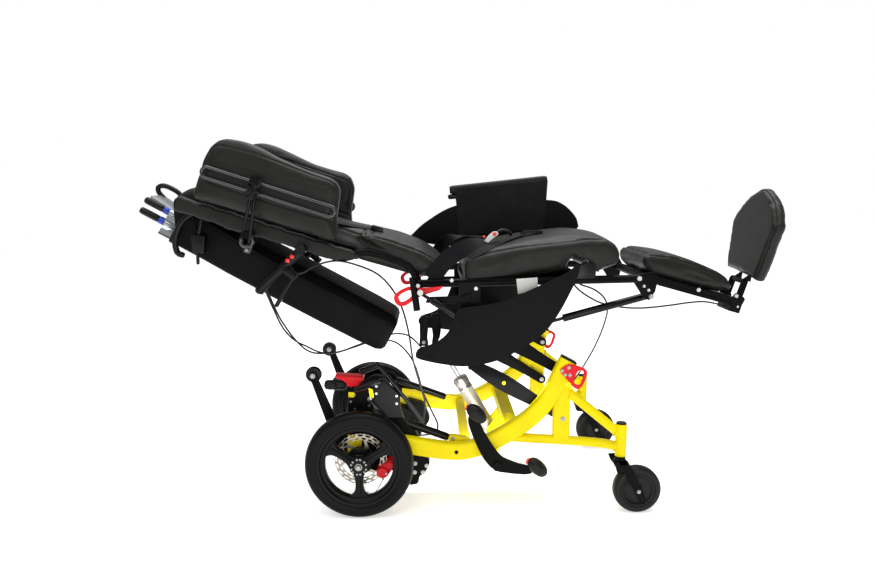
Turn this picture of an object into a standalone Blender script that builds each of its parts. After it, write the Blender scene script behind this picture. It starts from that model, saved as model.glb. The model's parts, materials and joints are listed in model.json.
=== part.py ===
# Reclined transport chair on a hydraulic lift base, shown raised and laid back.
# Metres; +X is the chair's front, +Y its left, +Z up, floor at Z = 0.

import math

import bmesh
import bpy
from mathutils import Vector

for leftover in list(bpy.data.objects):
    bpy.data.objects.remove(leftover, do_unlink=True)

# Fits
seat_gap = 0.0003
open_pivot_gap = 0.0015
weld = 0.002
sides_round = 16

# Rear wheels and axle
wheel_radius = 0.1575
tyre_width = 0.052
bead_radius = 0.1015
rim_width = 0.042
rim_depth = 0.0135
tyre_shoulder = 0.012
tyre_crown = 0.002
hub_radius = 0.030
hub_half = 0.026
hub_neck = 0.014
hub_step = 0.022
spoke_width = 0.030
spoke_half = 0.008
spoke_root = 0.0067
spoke_into_rim = 0.004
spoke_count = 3
spindle_radius = 0.010
axle_nut_radius = 0.016
axle_nut_length = 0.012
wheel_from_frame = 0.052
rear_axle_x = -0.300
disc_radius = 0.078
disc_hole = 0.022
disc_thickness = 0.003
disc_inset = 0.040
disc_flange_radius = 0.040
caliper_size = (0.040, 0.038, 0.057)
caliper_slot = 0.007
caliper_reach = 0.072
caliper_drop = 0.0135
caliper_over = 0.006
caliper_slot_clear = 0.003

# Casters
caster_radius = 0.070
caster_width = 0.036
caster_hub_radius = 0.018
caster_web = (0.022, 0.048)
caster_rim_inner = 0.052
caster_web_recess = 0.008
caster_shoulder = 0.006
caster_tread_edge = 0.010
caster_track = 0.552
caster_stem_x = 0.464
caster_trail = 0.051
caster_axle_radius = 0.005
fork_plate = 0.006
fork_side_gap = 0.003
fork_half_width = 0.014
fork_neck_radius = 0.016
fork_crown = 0.014
fork_crown_gap = 0.010
fork_crown_back = 0.004
fork_crown_front = 0.008
housing_radius = 0.0165
housing_bottom = 0.170
housing_top = 0.268

# Side frames
frame_half = 0.248
beam_width = 0.040
beam_depth = 0.050
beam_chamfer = 0.006
beam_step = 0.045
beam_route = [(-0.155, 0.200), (0.000, 0.184), (0.130, 0.233), (0.236, 0.316), (0.309, 0.452)]
post_front = 0.317
post_back = 0.267
post_width = 0.028
post_top = 0.390
lower_tube_radius = 0.0125
lower_tube_start = (0.130, 0.224)
lower_tube_bend = (0.404, 0.203)
lower_tube_drop = 0.020
diagonal_radius = 0.014
diagonal_start = (0.300, 0.366)
diagonal_drop = 0.034
tie_plate = 0.006
front_tie_outline = [(0.277, 0.430), (0.302, 0.448), (0.325, 0.443), (0.352, 0.432), (0.361, 0.418),
                     (0.352, 0.384), (0.334, 0.371), (0.318, 0.378), (0.286, 0.410)]
front_tie_hole = [(0.329, 0.425), (0.346, 0.419), (0.342, 0.393), (0.333, 0.388), (0.325, 0.397)]

# Cross member, lift cylinder and pump
cross_x = 0.150
cross_width = 0.040
cross_height = 0.034
cross_z = 0.232
ear_half_gap = 0.028
ear_thickness = 0.008
cylinder_pivot = (0.100, 0.166)
cylinder_radius = 0.0235
cylinder_length = 0.196
cylinder_eye_radius = 0.012
lift_rod_radius = 0.009
lift_rod_buried = 0.080
cylinder_bore_floor = 0.010
pump_pivot = (0.104, 0.136)
pump_upper_pad = (0.043, 0.292)
pump_lower_pad = (0.226, 0.126)
pump_plate = 0.008
pump_arm_half = 0.011
pump_boss_radius = 0.019
pump_pad_size = (0.030, 0.024, 0.018)
pump_pad_out = 0.025
pump_pad_rings = (-60, -25, 10, 45, 75)
pump_boss_proud = 0.004
pump_shaft_radius = 0.010
pump_ear_y = 0.120
pump_clear = 0.006

# Rear axle carrier, anti-tip arms and parking brake
carrier_plate = 0.030
carrier_low_edge = [(-0.392, 0.176), (-0.378, 0.150), (-0.255, 0.105), (-0.165, 0.110), (-0.150, 0.062),
                    (-0.105, 0.062), (-0.100, 0.205), (-0.140, 0.232), (-0.170, 0.270)]
pedal_tower = [(-0.182, 0.385), (-0.222, 0.425), (-0.300, 0.425), (-0.338, 0.395), (-0.352, 0.250),
               (-0.388, 0.222)]
left_top_edge = [(-0.200, 0.292), (-0.300, 0.292), (-0.340, 0.262), (-0.388, 0.222)]
axle_tube_radius = 0.022
axle_tube_root = 0.010
strut_radius = 0.013
strut_start = (-0.205, 0.264)
strut_end = (-0.035, 0.196)
antitip_pivot = (-0.372, 0.198)
antitip_tip = (-0.446, 0.392)
antitip_half = 0.011
antitip_thickness = 0.012
roller_radius = 0.024
roller_width = 0.020
roller_round = 0.004
pedal_pivot = (-0.268, 0.392)
pedal_bar = (-0.384, 0.366)
pedal_bar_radius = 0.013
pedal_width = 0.050
pedal_bar_beyond = 0.012
pedal_thickness = 0.008
pedal_pin_radius = 0.006
pedal_ear = 0.016
pedal_ear_wall = 0.006
pedal_ear_root = 0.040

# Lift links and seat carrier
link_front_x = 0.305
link_lower_z = 0.270
link_spacing = 0.136
link_length = 0.320
link_rise = math.radians(30.6)
link_half = 0.015
link_plate = 0.012
carrier_thickness = 0.020
carrier_below = 0.018
tilt_tube_radius = 0.013
tilt_rise = 0.042
lift_lug = (-0.055, 0.430)
lift_lug_radius = 0.012
lift_lug_plate = 0.008
lift_lug_root = 0.492
carrier_notch_half = 0.034
carrier_notch_top = 0.462
carrier_notch_clear = 0.010

# Seat
seat_rail_y = 0.222
seat_rail_radius = 0.012
recline_axis = (-0.129, 0.674)
leg_axis = (0.515, 0.688)
pan_back = 0.000
pan_front = 0.360
pan_thickness = 0.012
tilt_block_y = 0.120
tilt_block_width = 0.040
tilt_block_length = 0.036
strut_lug_plate = 0.0058
strut_pivot = (0.020, 0.560)
strut_lug_radius = 0.014
strut_lug_rear = -0.010
strut_lug_front = 0.052
seat_cushion_half = 0.205
seat_cushion_profile = [(0.000, 0.000), (0.000, 0.052), (0.016, 0.066), (0.100, 0.086), (0.220, 0.105),
                        (0.345, 0.116), (0.420, 0.108), (0.456, 0.088), (0.470, 0.054), (0.455, 0.022),
                        (0.400, 0.008), (0.340, 0.000), (0.170, 0.000)]
seat_cushion_edge = 0.026
seat_cushion_crown = 0.010
cushion_draw = 0.005
guard_y = 0.267
guard_thickness = 0.0047
guard_outline = [(-0.135, 0.476), (-0.121, 0.496), (-0.072, 0.514), (-0.043, 0.540), (-0.023, 0.584),
                 (0.000, 0.610), (0.079, 0.621), (0.151, 0.644), (0.221, 0.676), (0.292, 0.710),
                 (0.322, 0.734), (0.332, 0.729), (0.326, 0.701), (0.310, 0.664), (0.275, 0.595),
                 (0.230, 0.534), (0.153, 0.481), (0.087, 0.452), (0.009, 0.439), (-0.063, 0.446),
                 (-0.128, 0.462)]
guard_stud_radius = 0.006
guard_front_stud_x = 0.298
guard_rear_stud = (0.040, 0.602)
rear_tie_outline = [(0.024, 0.648), (0.000, 0.640), (-0.100, 0.637), (-0.140, 0.638), (-0.160, 0.655),
                    (-0.172, 0.667), (-0.190, 0.672), (-0.204, 0.656), (-0.200, 0.630), (-0.178, 0.612),
                    (-0.150, 0.610), (-0.110, 0.620), (0.020, 0.616)]
rear_tie_hole = [(-0.146, 0.634), (-0.168, 0.654), (-0.186, 0.658), (-0.191, 0.644), (-0.180, 0.626),
                 (-0.156, 0.621)]

# Recline strut
recline_eye = (0.007, -0.024)
recline_strut_y = 0.252
recline_tube_radius = 0.0105
recline_tube_length = 0.128
recline_rod_radius = 0.005
recline_rod_buried = 0.070
recline_bore_floor = 0.030
recline_pin_radius = 0.005

# Back
back_slope = math.radians(17.7)
back_length = 0.740
back_rail_y = 0.195
back_rail_radius = 0.0115
back_pan_thickness = 0.010
back_pan_start = 0.250
back_rail_short = 0.004
back_rail_step = 0.030
back_rail_crank = [(0.000, 0.000), (0.030, 0.031), (0.060, 0.042), (0.165, 0.042), (0.210, 0.015),
                   (0.245, 0.000)]
back_boss_step = 0.001
back_cushion_half = 0.178
back_cushion_profile = [(-0.054, 0.034), (-0.076, 0.044), (-0.078, 0.058), (-0.044, 0.074), (0.020, 0.092),
                        (0.100, 0.097), (0.180, 0.092), (0.270, 0.084), (0.450, 0.082), (0.620, 0.082),
                        (0.730, 0.078), (0.768, 0.060), (0.772, 0.032), (0.750, 0.0053), (0.400, 0.0053),
                        (0.262, 0.0053), (0.236, 0.0285), (0.000, 0.0285)]
back_cushion_edge = 0.026
back_cushion_crown = 0.004
lever_radius = 0.009
lever_plate = 0.010
lever_side_gap = 0.002
lever_pin_root = 0.004

# Lateral supports
lateral_inner = 0.186
lateral_outer = 0.250
lateral_profile = [(0.262, 0.040), (0.270, 0.120), (0.284, 0.196), (0.320, 0.224), (0.450, 0.231),
                   (0.560, 0.237), (0.640, 0.228), (0.676, 0.198), (0.692, 0.140), (0.694, 0.060),
                   (0.680, 0.036), (0.480, 0.034)]
lateral_edge = 0.016
lateral_crown = 0.007
lateral_rod_radius = 0.005
lateral_rod_low = 0.112
lateral_rod_high = 0.140
lateral_rod_back = 0.300
lateral_rod_head = 0.656
lateral_rod_out = 0.012
lateral_post_inset = 0.012
lateral_bracket_s = 0.505
lateral_bracket_half = 0.011
lateral_bracket_top = 0.156
lateral_bracket_plate = 0.012
lateral_bracket_foot = 0.020
lateral_bracket_weld = 0.004
lateral_bracket_inset = 0.001

# Push handles and brake levers
handle_root = (0.351, -0.006)
handle_end = (0.432, -0.166)
handle_radius = 0.0135
handle_clamp_radius = 0.019
lever_pivot = (-0.487, 0.703)
lever_tip = (-0.540, 0.612)
lever_half = 0.007
lever_thickness = 0.010
lever_bracket_share = 0.32
hook_radius = 0.009
hook_y = 0.158
hook_route = [(0.690, -0.004), (0.718, -0.045), (0.724, -0.095), (0.708, -0.135), (0.684, -0.138)]
hook_step = 0.016

# Bag and folded ramp
bag_slope = math.radians(28.2)
bag_seat_s = 0.730
bag_length = 0.708
bag_half_width = 0.130
bag_mouth_half = 0.058
bag_body_half = 0.0575
bag_shoulder = 0.200
bag_wall = 0.005
bag_depth = 0.612
bag_mouth_over = 0.020
bag_corner = 0.020
ramp_length = 0.640
ramp_mouth = -0.045
ramp_half_width = 0.100
leaf_thickness = 0.018
leaf_gap = 0.026
leaf_trim = 0.001
knuckle_length = 0.020
knuckle_rise = 0.010
knuckle_side = 0.004
grip_radius = 0.012
grip_length = 0.105
grip_y = -0.030
grip_root = 0.020
ramp_plate_length = 0.085
ramp_plate_thickness = 0.012
ramp_plate_half = 0.055
ramp_plate_sink = 0.004
ramp_plate_outside = 0.7
ramp_loop_radius = 0.006
ramp_loop_rise = 0.030
ramp_loop_shoulder = 0.021
ramp_loop_foot = 0.006
ramp_loop_step = 0.010
ramp_loop_along = (0.012, -0.004, 0.022)
ramp_loop_return = (0.034, 0.020)

# Left armrest
arm_y = 0.2575
arm_panel_thickness = 0.006
arm_outline = [(-0.165, 0.780), (-0.091, 0.851), (-0.003, 0.886), (0.160, 0.900), (0.321, 0.907),
               (0.367, 0.893), (0.414, 0.854), (0.429, 0.826), (0.424, 0.800), (0.330, 0.760),
               (0.210, 0.740), (0.110, 0.740), (-0.060, 0.748)]
arm_cloth = [(-0.008, 0.945), (0.010, 0.780), (0.310, 0.800), (0.320, 0.975)]
arm_cloth_thickness = 0.004
arm_pad_start = (-0.014, 0.955)
arm_pad_end = (0.312, 0.994)
arm_pad_width = 0.035
arm_pad_depth = 0.030
arm_pad_chamfer = 0.008
arm_pad_sink = 0.006
arm_stem_x = (0.130, 0.190)
arm_stem_top = 0.800
arm_overlap = 0.001
arm_socket_depth = 0.046
arm_socket_wall = 0.010
arm_socket_clear = 0.0025

# Leg rest
leg_slope = math.radians(15.5)
leg_plate = 0.0102
leg_plate_outline = [(-0.012, 0.008), (0.050, 0.018), (0.060, 0.000), (0.052, -0.040), (0.036, -0.066),
                     (0.020, -0.060), (-0.010, -0.014)]
leg_cross_radius = 0.010
leg_cross_at = 0.040
leg_cross_rise = 0.002
leg_board_start = 0.030
leg_board_end = 0.345
leg_board_half = 0.150
leg_board_low = 0.006
leg_board_high = 0.018
calf_half = 0.160
calf_profile = [(0.020, 0.030), (0.016, 0.050), (0.030, 0.066), (0.100, 0.080), (0.200, 0.085),
                (0.290, 0.079), (0.338, 0.066), (0.358, 0.044), (0.352, 0.026), (0.336, 0.0183),
                (0.200, 0.0183), (0.040, 0.0183)]
calf_edge = 0.022
calf_crown = 0.005
leg_ball = (0.041, -0.056)
leg_pin_radius = 0.006
leg_strut_y = 0.178
leg_strut_radius = 0.0115
leg_strut_length = 0.262
leg_rod_radius = 0.005
leg_rod_buried = 0.140
leg_bore_floor = 0.026
leg_lug = (0.200, 0.535)
leg_lug_radius = 0.010
leg_lug_plate = 0.008
slide_start = 0.120
slide_end = 0.395
slide_half = 0.050
slide_thickness = 0.0177
slide_block_start = 0.360
slide_block_drop = 0.018
slide_block_rise = 0.004
slide_trim = 0.001
foot_bar_y = 0.0450
foot_bar_thickness = 0.008
foot_bar_half = 0.010
foot_axis = (0.380, 0.072)
foot_barrel_radius = 0.008
foot_neck_low = (-0.004, 0.002)
foot_neck_back = (-0.002, 0.007)
foot_neck_rise = 0.020
foot_lean = math.radians(9)
foot_rise = 0.014
foot_offset = 0.004
foot_thickness = 0.036
foot_outline = [(-0.110, 0.000), (-0.140, 0.018), (-0.150, 0.090), (-0.148, 0.176), (-0.128, 0.232),
                (-0.080, 0.270), (0.000, 0.284)]
foot_edge = 0.010
foot_crown = 0.004

# Cables, as chosen points along their routes; an end's Y is measured from the carrier's inner face
cable_radius = 0.0032
release_cable_route = [(-0.580, -0.2120, 0.658), (-0.580, -0.202, 0.658), (-0.562, -0.184, 0.600),
                       (-0.532, -0.165, 0.520), (-0.480, -0.140, 0.462), (-0.410, -0.100, 0.436),
                       (-0.340, -0.060, 0.432), (-0.270, -0.040, 0.430), (-0.190, -0.050, 0.410),
                       (-0.140, -0.070, 0.350), (-0.124, -0.110, 0.285)]
release_cable_end = [(-0.136, 0.0374, 0.224), (-0.142, 0.0134, 0.206), (-0.142, 0.000, 0.206)]
brake_cable_route = [(-0.4797, -0.2258, 0.703), (-0.466, -0.2258, 0.703), (-0.400, -0.234, 0.728),
                     (-0.330, -0.242, 0.722), (-0.250, -0.247, 0.704), (-0.212, -0.248, 0.660),
                     (-0.172, -0.247, 0.586), (-0.156, -0.230, 0.521), (-0.146, -0.206, 0.445),
                     (-0.128, -0.182, 0.370), (-0.110, -0.172, 0.300)]
brake_cable_end = [(-0.118, 0.0254, 0.236), (-0.124, 0.0134, 0.210), (-0.124, 0.000, 0.210)]
lock_cable_route = [(0.350, -0.152, 0.6780), (0.350, -0.152, 0.664), (0.404, -0.150, 0.622),
                    (0.432, -0.130, 0.570), (0.470, -0.080, 0.510), (0.480, 0.020, 0.450),
                    (0.456, 0.110, 0.390), (0.436, 0.190, 0.310), (0.420, 0.240, 0.258),
                    (0.416, 0.2536, 0.232), (0.416, 0.2536, 0.2149)]
slide_cable_route = [(0.340, -0.120, 0.6778), (0.340, -0.120, 0.664), (0.366, -0.120, 0.636),
                     (0.424, -0.118, 0.602), (0.490, -0.110, 0.586), (0.560, -0.096, 0.580),
                     (0.650, -0.064, 0.582), (0.730, -0.024, 0.585), (0.790, 0.000, 0.585),
                     (0.8322, 0.000, 0.57823), (0.85601, 0.000, 0.57163)]

# Colours from the object: red, green and blue, roughness, metallic
finishes = {
    "yellow_paint": ((0.93, 0.78, 0.00), 0.35, 0.0),
    "red_paint": ((0.78, 0.02, 0.03), 0.35, 0.0),
    "black_paint": ((0.020, 0.020, 0.022), 0.35, 0.0),
    "black_plastic": ((0.025, 0.025, 0.027), 0.60, 0.0),
    "rubber": ((0.022, 0.022, 0.022), 0.75, 0.0),
    "leatherette": ((0.030, 0.030, 0.028), 0.50, 0.0),
    "fabric": ((0.020, 0.020, 0.022), 0.85, 0.0),
    "steel": ((0.62, 0.62, 0.62), 0.28, 1.0),
    "aluminium": ((0.72, 0.72, 0.73), 0.38, 1.0),
}

root = bpy.data.objects.new("chair_root", None)
bpy.context.scene.collection.objects.link(root)


# Shapes are pairs of points and faces in assembly coordinates

def loft(loops, start=None, end=None, ring=False):
    count = len(loops[0])
    points = [Vector(point) for loop in loops for point in loop]
    rows = len(loops)
    faces = []
    for row in range(rows if ring else rows - 1):
        low = row * count
        high = ((row + 1) % rows) * count
        for i in range(count):
            j = (i + 1) % count
            faces.append((low + i, low + j, high + j, high + i))
    if ring:
        return points, faces
    for first, centre in ((0, start), ((rows - 1) * count, end)):
        if centre is None:
            faces.append(tuple(range(first, first + count)))
            continue
        points.append(Vector(centre))
        tip = len(points) - 1
        faces.extend((first + i, first + (i + 1) % count, tip) for i in range(count))
    return points, faces


def slab(outline, y_low, y_high):
    return loft([[(x, y, z) for x, z in outline] for y in (y_low, y_high)])


def box(x_range, y_range, z_range):
    outline = [(x_range[0], z_range[0]), (x_range[1], z_range[0]),
               (x_range[1], z_range[1]), (x_range[0], z_range[1])]
    return slab(outline, *y_range)


def turned(profile, base, axis, segments=sides_round, ring=False):
    axis = Vector(axis).normalized()
    across = axis.orthogonal().normalized()
    other = axis.cross(across)
    loops = []
    for radius, height in profile:
        centre = Vector(base) + axis * height
        loop = []
        for i in range(segments):
            angle = 2 * math.pi * i / segments
            loop.append(centre + (across * math.cos(angle) + other * math.sin(angle)) * radius)
        loops.append(loop)
    return loft(loops, ring=ring)


def rod(start, end, radius, segments=sides_round):
    length = (Vector(end) - Vector(start)).length
    return turned([(radius, 0), (radius, length)], start, Vector(end) - Vector(start), segments)


def pipe(start, end, radius, bore, floor):
    length = (Vector(end) - Vector(start)).length
    profile = [(radius, 0), (radius, length), (bore, length), (bore, floor)]
    return turned(profile, start, Vector(end) - Vector(start))


def smooth_route(points, spacing):
    points = [Vector(point) for point in points]
    ends = [2 * points[0] - points[1]] + points + [2 * points[-1] - points[-2]]
    route = []
    for i in range(1, len(ends) - 2):
        a, b, c, d = ends[i - 1:i + 3]
        steps = max(1, round((c - b).length / spacing))
        for step in range(steps):
            t = step / steps
            route.append(0.5 * (2 * b + (c - a) * t + (2 * a - 5 * b + 4 * c - d) * t ** 2
                                + (3 * b - a - 3 * c + d) * t ** 3))
    return route + [points[-1]]


def tube(points, radius, segments=10, ring=False):
    points = [Vector(point) for point in points]
    count = len(points)
    across = None
    loops = []
    for i, point in enumerate(points):
        before = points[(i - 1) % count] if ring or i else point
        after = points[(i + 1) % count] if ring or i < count - 1 else point
        along = (after - before).normalized()
        across = along.orthogonal() if across is None else across - along * across.dot(along)
        across.normalize()
        other = along.cross(across)
        turns = [2 * math.pi * k / segments for k in range(segments)]
        loops.append([point + (across * math.cos(turn) + other * math.sin(turn)) * radius for turn in turns])
    return loft(loops, ring=ring)


def swept_beam(route, depth, width, chamfer, y_centre):
    section = []
    for across, up in ((-1, -1), (1, -1), (1, 1), (-1, 1)):
        corner = (across * width / 2, up * depth / 2)
        first = (corner[0], corner[1] - up * chamfer)
        second = (corner[0] - across * chamfer, corner[1])
        section.extend((first, second) if across * up > 0 else (second, first))
    points = [Vector((x, y_centre, z)) for x, z in route]
    loops = []
    for i, point in enumerate(points):
        along = (points[min(i + 1, len(points) - 1)] - points[max(i - 1, 0)]).normalized()
        up = Vector((-along.z, 0, along.x))
        loops.append([point + Vector((0, across, 0)) + up * rise for across, rise in section])
    return loft(loops)


def stadium(start, end, radius, steps=6):
    start, end = Vector(start), Vector(end)
    heading = math.atan2(end.y - start.y, end.x - start.x)
    outline = []
    for centre, first in ((end, heading - math.pi / 2), (start, heading + math.pi / 2)):
        for step in range(steps + 1):
            angle = first + math.pi * step / steps
            outline.append((centre.x + radius * math.cos(angle), centre.y + radius * math.sin(angle)))
    return outline


def link_bar(start, end, radius, y_low, y_high):
    return slab(stadium(start, end, radius), y_low, y_high)


# A padded form: an outline swept between two faces, rounded at its edges.
# crown lifts the outline's upper half at mid width, draw moves the faces' middles inward.
def pillow(outline, half, edge, crown, draw, to_world):
    centre = sum((Vector(p) for p in outline), Vector((0, 0))) / len(outline)
    stations = [(-half, edge), (-half + 0.3 * edge, 0.35 * edge), (-half + edge, 0), (-0.5 * half, 0), (0, 0)]
    stations += [(-depth, inset) for depth, inset in reversed(stations[:-1])]
    loops = []
    for depth, inset in stations:
        rise = crown * (1 - (depth / half) ** 2)
        loop = []
        for p in outline:
            inward = centre - Vector(p)
            moved = Vector(p) + inward.normalized() * inset
            if p[1] > centre.y:
                moved.y += rise
            loop.append(to_world(moved.x, moved.y, depth))
        loops.append(loop)
    caps = [to_world(centre.x, centre.y, side * (half - draw)) for side in (-1, 1)]
    return loft(loops, start=caps[0], end=caps[1])


def temporary_object(shape):
    mesh = bpy.data.meshes.new("shape")
    mesh.from_pydata([tuple(p) for p in shape[0]], [], shape[1])
    work = bmesh.new()
    work.from_mesh(mesh)
    bmesh.ops.recalc_face_normals(work, faces=work.faces)
    work.to_mesh(mesh)
    work.free()
    item = bpy.data.objects.new("shape", mesh)
    bpy.context.scene.collection.objects.link(item)
    return item


def combine(operation, first, others):
    base = temporary_object(first)
    tools = [temporary_object(shape) for shape in others]
    for tool in tools:
        step = base.modifiers.new("combine", "BOOLEAN")
        step.operation = operation
        step.solver = "EXACT"
        step.object = tool
    bpy.context.view_layer.update()
    result = base.evaluated_get(bpy.context.evaluated_depsgraph_get()).to_mesh()
    shape = ([v.co.copy() for v in result.vertices], [tuple(face.vertices) for face in result.polygons])
    for item in tools + [base]:
        bpy.data.objects.remove(item, do_unlink=True)
    return shape


def fuse(first, *others):
    return combine("UNION", first, others)


def cut(first, *others):
    return combine("DIFFERENCE", first, others)


def material_for(node, finish):
    colour, roughness, metallic = finishes[finish]
    material = bpy.data.materials.new(node + "." + finish)
    material.use_nodes = True
    shader = material.node_tree.nodes["Principled BSDF"]
    shader.inputs["Base Color"].default_value = (*colour, 1)
    shader.inputs["Roughness"].default_value = roughness
    shader.inputs["Metallic"].default_value = metallic
    return material


def place(node, shape, finish, pivot=(0, 0, 0)):
    pivot = Vector(pivot)
    mesh = bpy.data.meshes.new(node)
    mesh.from_pydata([tuple(Vector(p) - pivot) for p in shape[0]], [], shape[1])
    work = bmesh.new()
    work.from_mesh(mesh)
    bmesh.ops.remove_doubles(work, verts=work.verts, dist=0.000001)
    bmesh.ops.recalc_face_normals(work, faces=work.faces)
    if work.calc_volume(signed=True) < 0:
        bmesh.ops.reverse_faces(work, faces=work.faces)
    work.to_mesh(mesh)
    work.free()
    mesh.shade_smooth()
    mesh.set_sharp_from_angle(angle=math.radians(38))
    mesh.materials.append(material_for(node, finish))
    item = bpy.data.objects.new(node, mesh)
    item.location = pivot
    item.parent = root
    bpy.context.scene.collection.objects.link(item)
    return item


def place_cable(node, route, spacing):
    curve = bpy.data.curves.new(node, "CURVE")
    curve.dimensions = "3D"
    curve.bevel_depth = cable_radius
    curve.bevel_resolution = 2
    curve.use_fill_caps = True
    points = smooth_route(route, spacing)
    spline = curve.splines.new("POLY")
    spline.points.add(len(points) - 1)
    for slot, point in zip(spline.points, points):
        slot.co = (*point, 1)
    curve.materials.append(material_for(node, "black_plastic"))
    item = bpy.data.objects.new(node, curve)
    item.parent = root
    bpy.context.scene.collection.objects.link(item)


def at(point, y):
    return Vector((point[0], y, point[1]))


def between(a, b, share):
    return tuple(p + (q - p) * share for p, q in zip(a, b))


def along_axis(origin, forward, upward):
    return lambda a, b, y: Vector((origin[0] + forward[0] * a + upward[0] * b, y,
                                   origin[1] + forward[1] * a + upward[1] * b))


hands = (("right", -1), ("left", 1))
beam_inner = frame_half - beam_width / 2
beam_outer = frame_half + beam_width / 2
wheel_half = frame_half + wheel_from_frame
caster_half = caster_track / 2


def ordered(side, near, far):
    return sorted((side * near, side * far))


# Base: welded side frames
beam_points = [(p.x, p.y) for p in smooth_route([(x, z, 0) for x, z in beam_route], beam_step)]
housing_low_tube = (housing_bottom + housing_top) / 2 - lower_tube_drop
for hand, side in hands:
    y = side * frame_half
    stem = Vector((caster_stem_x, side * caster_half, 0))
    beam = swept_beam(beam_points, beam_depth, beam_width, beam_chamfer, y)
    post_y = ordered(side, frame_half - post_width / 2, frame_half + post_width / 2)
    post = box((post_back, post_front), post_y, (lower_tube_bend[1], post_top))
    lower = tube([at(lower_tube_start, y), at(lower_tube_bend, y), stem + Vector((0, 0, housing_low_tube))],
                 lower_tube_radius, 12)
    diagonal_end = stem + Vector((0, 0, housing_top - diagonal_drop))
    diagonal = rod(at(diagonal_start, y), diagonal_end, diagonal_radius, 12)
    housing = rod(stem + Vector((0, 0, housing_bottom)), stem + Vector((0, 0, housing_top)), housing_radius)
    place(hand + "_side_frame", fuse(beam, post, lower, diagonal, housing), "yellow_paint")
    tie_face = beam_outer + seat_gap
    tie_y = ordered(side, tie_face, tie_face + tie_plate)
    hole_y = ordered(side, tie_face - tie_plate, tie_face + 2 * tie_plate)
    tie_down = cut(slab(front_tie_outline, *tie_y), slab(front_tie_hole, *hole_y))
    place(hand + "_front_tie_down", tie_down, "red_paint")

# Base: cross member with cylinder ears and the pump shaft's ear
cross_y = beam_inner - seat_gap
cross_bar = box((cross_x - cross_width / 2, cross_x + cross_width / 2), (-cross_y, cross_y),
                (cross_z - cross_height / 2, cross_z + cross_height / 2))
ears = []
for side in (-1, 1):
    ear_y = ordered(side, ear_half_gap, ear_half_gap + ear_thickness)
    ears.append(link_bar((cross_x, cross_z), cylinder_pivot, cylinder_eye_radius, *ear_y))
pump_ear = (-pump_ear_y, -pump_ear_y + ear_thickness)
ears.append(link_bar((cross_x, cross_z), pump_pivot, pump_boss_radius, *pump_ear))
place("cross_member", fuse(cross_bar, *ears), "yellow_paint")

# Base: rear axle carrier
carrier_outer = beam_inner - seat_gap
carrier_inner = carrier_outer - carrier_plate
hub_outer_face = wheel_half + hub_half
axle_tube_half = carrier_inner + axle_tube_root
pieces = [rod((rear_axle_x, -axle_tube_half, wheel_radius), (rear_axle_x, axle_tube_half, wheel_radius),
              axle_tube_radius)]
for side in (-1, 1):
    carrier_outline = carrier_low_edge + (pedal_tower if side < 0 else left_top_edge)
    pieces.append(slab(carrier_outline, *ordered(side, carrier_inner, carrier_outer)))
    pieces.append(rod((rear_axle_x, side * carrier_inner, wheel_radius),
                      (rear_axle_x, side * (hub_outer_face + weld), wheel_radius), spindle_radius))
    pieces.append(rod((rear_axle_x, side * (hub_outer_face + seat_gap), wheel_radius),
                      (rear_axle_x, side * (hub_outer_face + seat_gap + axle_nut_length), wheel_radius),
                      axle_nut_radius, 6))
    strut_y = side * (carrier_outer - strut_radius)
    pieces.append(rod(at(strut_start, strut_y), at(strut_end, strut_y), strut_radius, 12))
pedal_ear_y = ordered(-1, carrier_inner, carrier_inner + pedal_ear)
pedal_ear_foot = (pedal_pivot[0], pedal_pivot[1] - pedal_ear_root)
pieces.append(link_bar(pedal_ear_foot, pedal_pivot, pedal_pin_radius + pedal_ear_wall, *pedal_ear_y))
place("rear_axle_carrier", fuse(*pieces), "black_paint")

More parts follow.
